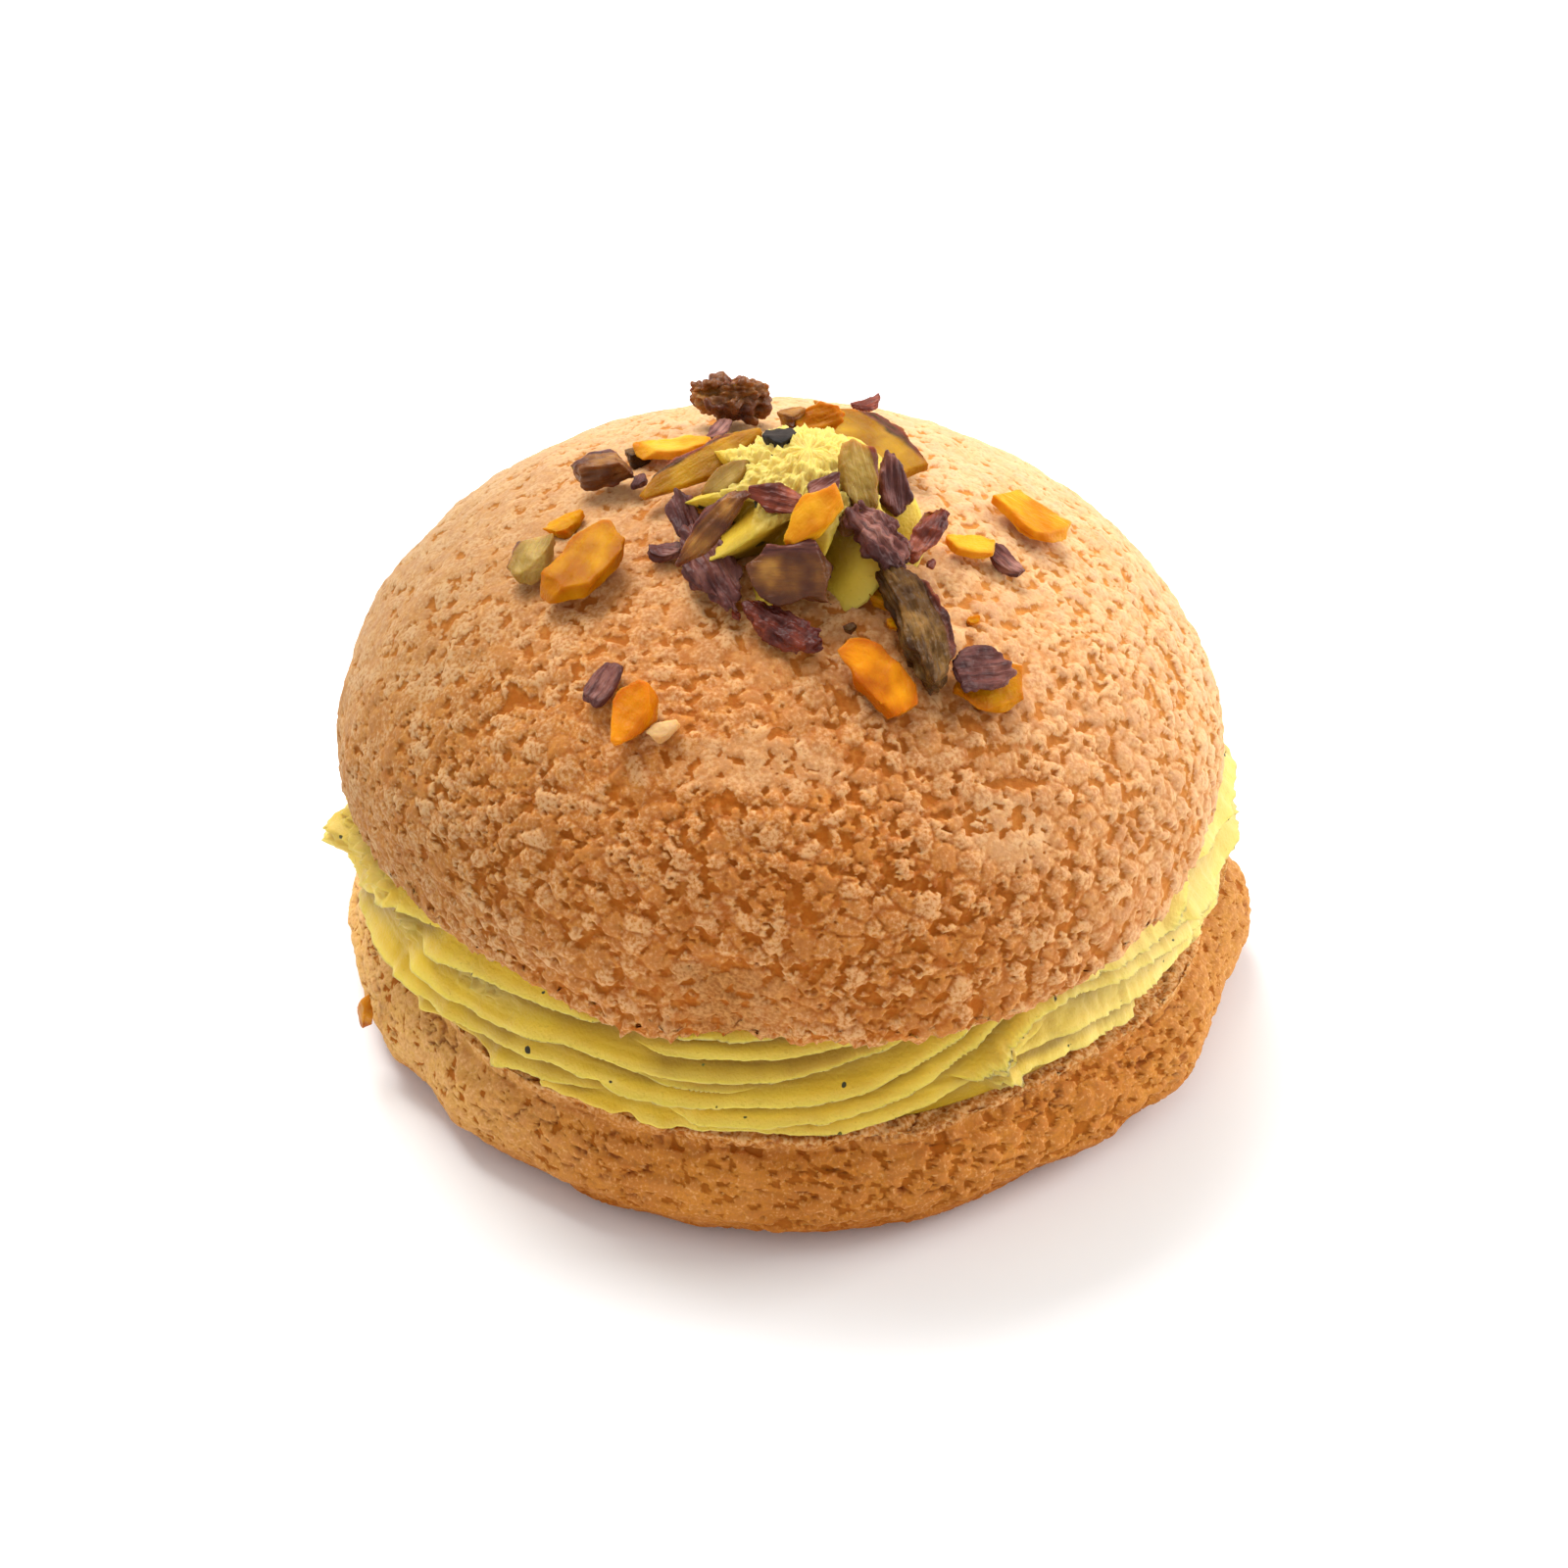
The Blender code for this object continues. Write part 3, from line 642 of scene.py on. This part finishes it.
crumble = np.array([noise.fractal((a / 0.9, h / 0.0009, 9), 0.8, 2.0, 3) if t > 0.05 else 0.0
                    for a, h, t in zip(arc_mm, z, torn)])
out += 0.9 * crumble * np.clip(torn * 2, 0, 1)
radius = CREAM_RADIUS - CREAM_TUCK + CREAM_BELLY * np.sin(math.pi * down) + swells(angle, CREAM_SWELLS)
radius += MM * out * edge
smooth = ring_places(angle, radius, z - MM * under * edge)
move_points(cream, smooth)
mark(cream, "rest", smooth)
mark(cream, "torn", np.maximum(torn, 0.6 * serrated))
mark(cream, "deep", deep)
mark(cream, "crest", crest)
bpy.ops.object.shade_smooth()


def cream_finish(name):
    """Yellow-green cream with a painted highlight on its lips, painted shade below them and
    a painted lighter right side; paler where it is torn, with specks of nut.
    """
    made, tree, shader = new_material(name, Roughness=0.45, Specular_IOR_Level=0.25,
                                      Subsurface_Weight=0.3, Subsurface_Scale=0.001,
                                      Subsurface_Radius=(1.8, 1.2, 0.3))
    place = place_in_mm(tree)
    cast = cloud(tree, place, 0.22, 2.0)
    air = cloud(tree, place, 3.2, 3.0)
    colour = two_tone(tree, ramp(tree, cast, 0.3, 0.7), "#d2aa20", "#deba2e")
    # painted light: the right side of the cream is coloured paler
    painted_light_right = ramp(tree, axis(tree, place, 0), 18.0, 34.0, 0.0, 0.5)
    colour = mix(tree, painted_light_right, colour, paint("#ecd284"))
    # painted highlight on the crest of each lip
    colour = mix(tree, times(tree, read(tree, "crest"), 0.5), colour, paint("#e6d06c"))
    # painted shade under each lip and in the hollows between the folds
    colour = mix(tree, times(tree, read(tree, "deep"), 0.9), colour, paint("#866004"))
    colour = mix(tree, ramp(tree, air, 0.62, 0.74, 0.0, 0.4), colour, paint("#ad8f1c"))
    colour = mix(tree, times(tree, read(tree, "torn"), 0.4), colour, paint("#e6d484"))
    near, chance = cells(tree, bent(tree, place, 1.0, 0.8), 0.40, "Distance", "Color")
    luck = axis(tree, chance, 0)
    size = times_plus(tree, maths(tree, "POWER", luck, 4.0), 0.18, 0.03)
    speck = ramp(tree, minus(tree, near, size), 0.0, 0.03, 1.0, 0.0)
    colour = mix(tree, speck, colour, two_tone(tree, luck, "#5c6420", "#2c2414"))
    tree.links.new(colour, shader.inputs["Base Color"])
    roughen(tree, shader, times(tree, air, 0.10))
    return made


butter_cream = cream_finish("pistachio_cream")
cream.data.materials.append(butter_cream)
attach(cream, "root")
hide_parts("cream_layer")

# Rosette
# One turn of the same cream from a star nozzle, broken off at a crumbly tip, to hold the nuts on the
# crown. A drum gathered towards its top, folded into a star and twisted.

ROSETTE_CENTRE = (0.0008, -0.0055)
ROSETTE_RADIUS = 0.0088
ROSETTE_HEIGHT = 0.0086
ROSETTE_FOLDS = 8
ROSETTE_TWIST = 60


def crown_rise(x, y):
    """Height of the crown's smooth surface over a place."""
    z = CROWN_WAIST + CROWN_HEIGHT
    for _ in range(6):
        lean = CROWN_LEAN * (z - CROWN_WAIST) / CROWN_HEIGHT
        off = (x - CROWN_CENTRE[0] - lean) ** 2 + (y - CROWN_CENTRE[1]) ** 2
        z = CROWN_WAIST + CROWN_HEIGHT * np.sqrt(np.maximum(1 - off / CROWN_RADIUS**2, 0))
    return z


rosette, angle, down = drum("cream_star", 400, 110)
up = 1 - down
radius = ROSETTE_RADIUS * np.maximum(1 - up**2.2, 0) ** 0.6 * (1 - 0.12 * (1 - up) ** 6) + 0.0002
crest = 1 - np.abs(np.cos(np.radians(ROSETTE_FOLDS * angle / 2)))
broken = np.clip((up - 0.60) / 0.15, 0, 1)
radius *= 1 + 0.42 * (1.7 * crest**0.8 - 1) * (1 - 0.5 * up) * (1 - 0.9 * broken)
turned = angle + ROSETTE_TWIST * up
smooth = ring_places(turned, radius, ROSETTE_HEIGHT * up)
smooth[:, 0] += ROSETTE_CENTRE[0] + 0.0008 * up**2
smooth[:, 1] += ROSETTE_CENTRE[1]
smooth[:, 2] += crown_rise(smooth[:, 0], smooth[:, 1]) - 0.0006
crumble = np.array([noise.fractal(Vector(p) / 0.0009, 0.7, 2.0, 4) for p in smooth])
outward = smooth - (*ROSETTE_CENTRE, CROWN_WAIST + CROWN_HEIGHT)
outward /= np.linalg.norm(outward, axis=1)[:, None]
smooth += (MM * (0.08 + 0.6 * broken) * crumble)[:, None] * outward
move_points(rosette, smooth)
mark(rosette, "rest", smooth)
mark(rosette, "torn", 1.3 * broken)
# painted shade in the valleys between the star's folds, and a painted highlight on its crests
mark(rosette, "deep", np.clip(1.5 - 2.4 * crest, 0.05, 1) * (1 - broken))
mark(rosette, "crest", crest**2 * (1 - up))
bpy.ops.object.shade_smooth()
rosette.data.materials.append(butter_cream)
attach(rosette, "root")
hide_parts("cream_rosette")

# Chopped nuts
# Roasted, candied pistachios chopped with a knife: amber kernels with flat cuts, olive ones with
# their wrinkled outside, and curls of papery purple skin. Each is a block whose corners are cut off,
# remeshed fine and roughened; it is then bowed, curled and twisted and laid where it fell.

EDGE_WEAR = 7  # rounds of smoothing that wear the cut edges down


def crown_normal(x, y):
    step = 0.0005
    along = (crown_rise(x + step, y) - crown_rise(x - step, y)) / (2 * step)
    across = (crown_rise(x, y + step) - crown_rise(x, y - step)) / (2 * step)
    return Vector((-along, -across, 1)).normalized()


def lie(up, heading, pitch=0, roll=0):
    """The turn that lays a piece on a surface that faces up, then heads, tips and rolls it."""
    upright = Vector((0, 0, 1)).rotation_difference(up).to_matrix()
    tip = Matrix.Rotation(-math.radians(pitch), 3, "Y") @ Matrix.Rotation(math.radians(roll), 3, "X")
    return upright @ Matrix.Rotation(math.radians(heading), 3, "Z") @ tip


def chopped(name, size, seed, cuts=5, ends=(0.8, 0.8), bow=0.0, curl=0.0, twist=0, rough=0.07,
            ribs=0.0, grain=0.13, slant=0.25, warp=0.22):
    """A chopped bit at the origin, its length along X; sizes in millimetres. rough is the height of
    its uneven surface, ribs that of the wrinkles along its length, grain the size of its faces, slant
    how far its cuts lean and warp how uneven its outline is."""
    length, width, thickness = size
    luck = random.Random(seed)
    deselect()
    bpy.ops.mesh.primitive_cube_add(size=1)
    bit = bpy.context.object
    bit.name = bit.data.name = name
    edit()
    bpy.ops.mesh.subdivide(number_cuts=7)
    for number in range(cuts):
        turn = (number + luck.uniform(-0.3, 0.3)) * math.tau / cuts
        way = Vector((math.cos(turn), math.sin(turn), luck.uniform(-slant, slant))).normalized()
        reach = luck.uniform(0.40, 0.52)
        bpy.ops.mesh.select_all(action="SELECT")
        bpy.ops.mesh.bisect(plane_co=way * reach, plane_no=way, clear_outer=True, use_fill=True)
    edit("OBJECT")
    at = points_of(bit)
    along = at[:, 0]
    end = np.maximum(3 * np.abs(along) - 0.5, 0)
    share = 1 - end * (1 - np.where(along < 0, *ends))
    at[:, 1] *= width * share
    at[:, 2] *= thickness * (0.4 + 0.6 * share)
    at[:, 0] *= length
    shift = Vector((seed * 1.7, seed * 0.9, 3))
    outline = [Vector((p[0], p[1], 0)) * 0.45 for p in at]
    warp *= width
    at[:, :2] += [(warp * noise.noise(p + shift), warp * noise.noise(p - shift)) for p in outline]
    move_points(bit, at)
    mesher = bit.modifiers.new("even", "REMESH")
    mesher.mode = "VOXEL"
    mesher.voxel_size = grain
    bpy.ops.object.modifier_apply(modifier=mesher.name)
    worn = bit.modifiers.new("worn", "SMOOTH")
    worn.iterations = EDGE_WEAR
    bpy.ops.object.modifier_apply(modifier=worn.name)
    at = points_of(bit)
    mark(bit, "rest", at * MM + seed * 0.013)
    mark(bit, "local", at / (length, width, thickness))
    lift = rough * np.array([noise.fractal(Vector(p) * 0.9 + shift, 1.0, 2.0, 3) for p in at])
    lift += ribs * np.array([noise.noise(Vector(p) + shift) for p in at * (0.35, 2.4, 2.4)])
    normals = np.empty(len(at) * 3)
    bit.data.vertices.foreach_get("normal", normals)
    at += normals.reshape(-1, 3) * lift[:, None]
    along = at[:, 0] / length
    turn = np.radians(twist) * along
    y, z = at[:, 1].copy(), at[:, 2].copy()
    at[:, 1] = y * np.cos(turn) - z * np.sin(turn) + bow * (1 - 4 * along**2)
    at[:, 2] = y * np.sin(turn) + z * np.cos(turn) + curl * 4 * along**2
    move_points(bit, at * MM)
    bpy.ops.object.shade_smooth()
    return bit


def lay(bit, turn, middle):
    """Puts the bit's own box around that middle, turned."""
    at = points_of(bit) @ np.array(turn).T
    at += np.array(middle) - (at.max(0) + at.min(0)) / 2
    move_points(bit, at)


def lay_for(bit, node, heading, pitch=0, roll=0):
    """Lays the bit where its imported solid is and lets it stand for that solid."""
    low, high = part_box(node)
    middle = (low + high) / 2
    lay(bit, lie(crown_normal(middle.x, middle.y), heading, pitch, roll), middle)
    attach(bit, "root")
    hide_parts(node)


def nut_finish(name, deep, mid, light, skin=None, skin_from=0.5,
               rough=0.42, glow=0.5, stripes=0.0, shine=0.3):
    """Candied kernel: cloudy, translucent and darker at its rims, with fine wrinkles along its length.
    Its skin, if any, lies along one side, from the share skin_from of its width outwards."""
    made, tree, shader = new_material(name, Roughness=rough, Specular_IOR_Level=shine,
                                      Subsurface_Weight=glow, Subsurface_Scale=0.001,
                                      Subsurface_Radius=(2.0, 0.8, 0.1))
    place = place_in_mm(tree)
    local = read(tree, "local", True)
    haze = cloud(tree, place, 0.30, 2.0)
    lines = cloud(tree, vectors(tree, "MULTIPLY", place, (0.5, 3.2, 3.2)), 0.8, 3.0)
    body = two_tone(tree, ramp(tree, haze, 0.3, 0.6), deep, mid)
    body = mix(tree, ramp(tree, haze, 0.5, 0.75), body, paint(light))
    body = mix(tree, ramp(tree, lines, 0.45, 0.7, 0.0, stripes), body, paint(deep))
    off_middle = vectors(tree, "LENGTH", vectors(tree, "MULTIPLY", local, (1.0, 1.0, 0.3)))
    rim = ramp(tree, off_middle.node.outputs["Value"], 0.36, 0.58, 0.0, 0.7)
    body = mix(tree, rim, body, paint(deep))
    if skin:
        edge = times_plus(tree, minus(tree, haze, 0.5), 0.35, axis(tree, local, 1))
        peel = two_tone(tree, ramp(tree, lines, 0.35, 0.65), skin, "#6b3a2c")
        body = mix(tree, ramp(tree, edge, skin_from - 0.06, skin_from + 0.04), body, peel)
    tree.links.new(body, shader.inputs["Base Color"])
    pores = times(tree, cloud(tree, place, 4.0, 2.0), 0.05)
    roughen(tree, shader, times_plus(tree, lines, 0.10 + 0.3 * stripes, pores))
    return made


amber_nut = nut_finish("amber_nut", "#a05a00", "#b87800", "#cc8e08", shine=0.08)
bright_nut = nut_finish("bright_nut", "#c07404", "#dc9c18", "#eab034", shine=0.12)
amber_skinned = nut_finish("amber_nut_skinned", "#94600a", "#ac7c14", "#c0921e", "#4a3412", 0.30,
                           shine=0.1)
orange_nut = nut_finish("orange_nut", "#a04c00", "#c87400", "#e09008", shine=0.1)
olive_nut = nut_finish("olive_nut", "#341a06", "#604018", "#8a6430", "#3c1a10", 0.36,
                       glow=0.2, stripes=0.6, shine=0.15)
pale_nut = nut_finish("pale_nut", "#826020", "#a4843c", "#c4a45c", "#5a3c20", 0.40,
                      stripes=0.2, shine=0.15)
brown_nut = nut_finish("brown_nut", "#4c200a", "#87531a", "#b47e34", "#3e1410", 0.34,
                       glow=0.3, stripes=0.4)
purple_skin = nut_finish("purple_skin", "#401814", "#784238", "#b07c6c",
                         glow=0.12, rough=0.5, stripes=0.8)
red_skin = nut_finish("red_skin", "#4a1408", "#86381c", "#b0664c", glow=0.25, stripes=0.7)

NUTS = (  # node, finish, size in mm, heading, pitch, roll, and how it is shaped
    ("chunk_brown_back", brown_nut, (7.2, 4.4, 3.8), -8, 0, 0,
     dict(cuts=9, ends=(0.7, 0.6), rough=0.7, ribs=0.4, slant=0.9)),
    ("kernel_dark_left", brown_nut, (5.8, 2.8, 2.4), -12, 0, 0,
     dict(cuts=7, ends=(0.5, 0.9), rough=0.15, ribs=0.15)),
    ("flake_gold_back", bright_nut, (7.0, 3.4, 1.0), -6, 0, 0, dict(ends=(0.9, 0.5), curl=0.3)),
    ("slice_gold_left", amber_nut, (8.6, 5.2, 1.8), 50, 0, 0, dict(ends=(0.7, 0.85), curl=0.3)),
    ("chip_olive_left", pale_nut, (5.2, 3.8, 1.6), 68, 0, 0, dict(ends=(0.7, 0.9), rough=0.12)),
    ("skin_bit_front", purple_skin, (4.0, 2.2, 0.9), 52, 0, 0, dict(cuts=4, curl=0.3, ribs=0.2)),
    ("chip_gold_front", orange_nut, (6.6, 3.6, 1.6), 62, 0, 0, dict(ends=(0.6, 0.9), curl=0.3)),
    ("flake_red_front", red_skin, (8.0, 3.4, 1.1), -31, 0, 0,
     dict(ends=(0.6, 0.6), curl=0.4, twist=14, rough=0.35, ribs=0.3)),
    ("slice_orange_front", orange_nut, (8.6, 3.8, 1.6), -50, 0, 0, dict(ends=(0.7, 0.85), bow=1.0)),
    ("kernel_olive_front", olive_nut, (12.6, 4.0, 3.4), -68, 0, 0,
     dict(cuts=12, ends=(0.85, 0.75), bow=0.8, rough=0.2, ribs=0.45, warp=0.1)),
    ("slice_gold_low", amber_nut, (6.0, 4.8, 1.2), 22, 0, 0, dict(ends=(0.8, 0.7))),
    ("skin_cap_low", purple_skin, (5.8, 4.4, 0.8), 20, 0, 0, dict(cuts=7, curl=0.3, ribs=0.3, rough=0.2)),
    ("flake_gold_right", bright_nut, (4.6, 2.4, 0.9), 12, 0, 0, dict(ends=(0.7, 0.6), curl=0.3)),
    ("slice_gold_right", bright_nut, (7.6, 4.6, 1.1), -18, 0, 0, dict(ends=(0.8, 0.7), curl=0.3)),
    ("slice_gold_long", amber_skinned, (12.2, 3.0, 1.1), 29, 13, 25, dict(ends=(0.6, 0.8))),
    ("slice_gold_behind", amber_skinned, (13.4, 5.2, 1.2), -46, -3, 20, dict(ends=(0.9, 0.7), bow=0.6)),
    ("chip_pale_right", pale_nut, (6.6, 3.4, 1.1), -62, -40, 0, dict(rough=0.15)),
    ("skin_shard_right", purple_skin, (6.0, 2.6, 1.1), 112, 52, 0,
     dict(ends=(0.8, 0.4), curl=0.3, ribs=0.4)),
    ("kernel_orange_front", bright_nut, (6.8, 3.2, 1.9), -142, -38, 0, dict(cuts=6, ends=(0.9, 0.6))),
    ("chip_brown_front", brown_nut, (6.6, 4.8, 1.2), 2, 0, 46, dict(cuts=5, ends=(0.8, 0.9), rough=0.15)),
    ("skin_knot_right", purple_skin, (6.8, 3.6, 1.8), -32, -20, 0,
     dict(cuts=7, twist=25, rough=0.6, ribs=0.4)),
    ("skin_strip_right", red_skin, (5.6, 2.6, 0.9), 62, 24, 0,
     dict(ends=(0.7, 0.7), twist=-20, rough=0.3, ribs=0.3)),
    ("skin_striped_left", purple_skin, (4.8, 2.4, 1.2), -72, -24, 0, dict(ends=(0.5, 0.8), ribs=0.5)),
    ("shard_olive_left", brown_nut, (8.8, 2.4, 0.9), 37, 28, 25,
     dict(ends=(0.4, 0.7), rough=0.1, ribs=0.2)),
    ("chip_olive_top", pale_nut, (4.6, 3.2, 1.2), 20, 30, 0, dict(cuts=7)),
    ("skin_husk_left", purple_skin, (9.4, 3.7, 1.5), -66, -6, 0,
     dict(ends=(0.9, 0.3), ribs=0.6, rough=0.2)),
)

for number, (node, finish, size, heading, pitch, roll, shape) in enumerate(NUTS):
    bit = chopped("nut_" + node, size, number + 1, **shape)
    bit.data.materials.append(finish)
    lay_for(bit, node, heading, pitch, roll)

# Crumbs of the nuts
# What is left on the board when the nuts are chopped: small flakes of amber kernel, curls of papery
# skin, brown grit and one burnt bit, and a loose flake of the crust. Each kind is a single piece,
# strewn over the rosette and the crown.

burnt_bit = nut_finish("burnt_bit", "#140e0a", "#261d18", "#40342c", glow=0.0, rough=0.7)
crust_crumb = nut_finish("crust_crumb", "#c48c50", "#d4a468", "#e0b880", glow=0.3, rough=0.7, shine=0.1)
CRUMBS = (  # kind, finish, then each bit's length, width, thickness and place in mm, heading, pitch, roll
    ("purple", purple_skin,
     (3.6, 2.4, 0.7, 2.8, -9.8, 60.2, 40, 10, 20), (6.6, 2.0, 0.9, 0.4, -14.2, 54.2, 12, 6, 30),
     (3.6, 2.0, 0.8, 18.6, -6.2, 50.4, -30, 0, 15), (3.4, 1.8, 0.8, -6.3, 8.7, 53.6, 60, 10, 0),
     (2.4, 1.4, 0.6, -13.1, 1.5, 53.3, 80, 0, 0), (2.8, 1.8, 0.9, -10.6, -8.8, 53.2, -20, 0, 0)),
    ("amber", amber_nut,
     (3.6, 2.4, 1.0, -19.6, -1.8, 51.2, 24, 0, 0), (3.0, 2.2, 0.9, 8.1, -14.0, 52.0, -30, 10, 0),
     (2.5, 1.7, 0.8, 9.1, -16.6, 51.2, 35, 0, 0), (4.0, 3.0, 0.8, 2.6, 4.4, 57.7, 14, 20, 40),
     (1.3, 0.9, 0.5, -16.0, -9.5, 51.2, 70, 0, 0), (1.1, 0.8, 0.5, 15.5, -14.0, 49.5, 20, 0, 0)),
    ("red", red_skin,
     (4.6, 2.8, 0.8, -1.2, -10.6, 59.6, -15, 0, 40), (3.0, 2.0, 0.7, 6.8, 18.0, 50.6, 20, 20, 0),
     (1.4, 0.8, 0.4, 12.0, -9.5, 52.2, 60, 0, 0), (1.2, 0.7, 0.4, -4.5, -17.0, 52.2, -50, 0, 0)),
    ("brown", brown_nut,
     (2.6, 1.8, 1.3, 0.1, 4.5, 58.0, 30, 0, 0), (2.6, 2.2, 1.6, 4.8, -10.0, 57.0, 10, 0, 0),
     (1.3, 1.0, 0.8, -8.0, -12.5, 52.9, 0, 0, 0)),
    ("burnt", burnt_bit, (2.8, 2.4, 2.2, -0.9, -3.6, 60.6, 24, 0, 0)),
    ("olive", olive_nut,
     (2.1, 1.9, 1.6, -13.4, 6.7, 52.4, 0, 0, 0), (1.2, 0.9, 0.6, 5.0, -18.0, 51.6, 40, 0, 0)),
    ("crust", crust_crumb, (2.8, 1.6, 1.0, -10.5, -26.4, 47.4, 15, 0, 0)),
)

for kind, finish, *bits in CRUMBS:
    made = []
    for number, (*size, x, y, z, heading, pitch, roll) in enumerate(bits):
        seed = 60 + len(kind) * 7 + number
        bit = chopped(f"crumb_{kind}_{number}", size, seed, curl=0.1 * size[0], twist=20,
                      rough=0.15, ribs=0.12, grain=0.10)
        bit.data.materials.append(finish)
        lay(bit, lie(crown_normal(x * MM, y * MM), heading, pitch, roll), Vector((x, y, z)) * MM)
        made.append(bit)
    deselect()
    for bit in made:
        bit.select_set(True)
    bpy.context.view_layer.objects.active = made[0]
    if len(made) > 1:
        bpy.ops.object.join()
    made[0].name = made[0].data.name = "crumbs_" + kind
    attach(made[0], "root")

# Amber sliver
# A thin slice of candied kernel that fell and stuck to the outside of the bottom half. It is cut and
# remeshed as the nuts on the crown are, and lies flat on the flank.

sliver = chopped("nut_sliver_gold_base", (5.2, 2.2, 0.9), 40, ends=(0.5, 0.4))
sliver.data.materials.append(amber_nut)
low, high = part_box("sliver_gold_base")
middle = (low + high) / 2
lay(sliver, lie(Vector((middle.x, middle.y, 0)).normalized(), 0), middle)
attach(sliver, "root")
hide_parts("sliver_gold_base")

# STAGE
bpy.ops.mesh.primitive_plane_add(size=6)
floor = bpy.context.object
floor.name = "floor"
white = new_material("floor_white", Roughness=0.9, Base_Color=(0.96, 0.96, 0.96, 1))[0]
floor.data.materials.append(white)


def softbox(name, place, size, power):
    lamp = bpy.data.lights.new(name, "AREA")
    lamp.size = size
    lamp.energy = power
    holder = bpy.data.objects.new(name, lamp)
    bpy.context.scene.collection.objects.link(holder)
    holder.location = place
    holder.rotation_euler = (Vector((0, 0, 0.03)) - Vector(place)).to_track_quat("-Z", "Y").to_euler()


softbox("key", (-0.24, 0.38, 0.80), 0.5, 8.5)
softbox("side", (0.8, 0.2, 0.40), 0.5, 5.5)
world = bpy.data.worlds.new("studio")
world.use_nodes = True
world.node_tree.nodes["Background"].inputs["Color"].default_value = (1, 1, 1, 1)
world.node_tree.nodes["Background"].inputs["Strength"].default_value = 0.75
bpy.context.scene.world = world
bpy.context.scene.view_settings.view_transform = "Standard"

camera = bpy.data.cameras.new("camera")
camera.lens = 100
camera.shift_x = -0.0039
camera.shift_y = -0.0155
camera_holder = bpy.data.objects.new("camera", camera)
bpy.context.scene.collection.objects.link(camera_holder)
TARGET = Vector((0, 0, 0.024))
LOOK_DOWN = math.radians(37.5)
CAMERA_DISTANCE = 0.395
away = Vector((0, -math.cos(LOOK_DOWN), math.sin(LOOK_DOWN)))
camera_holder.location = TARGET + CAMERA_DISTANCE * away
camera_holder.rotation_euler = (math.pi / 2 - LOOK_DOWN, 0, 0)
bpy.context.scene.camera = camera_holder
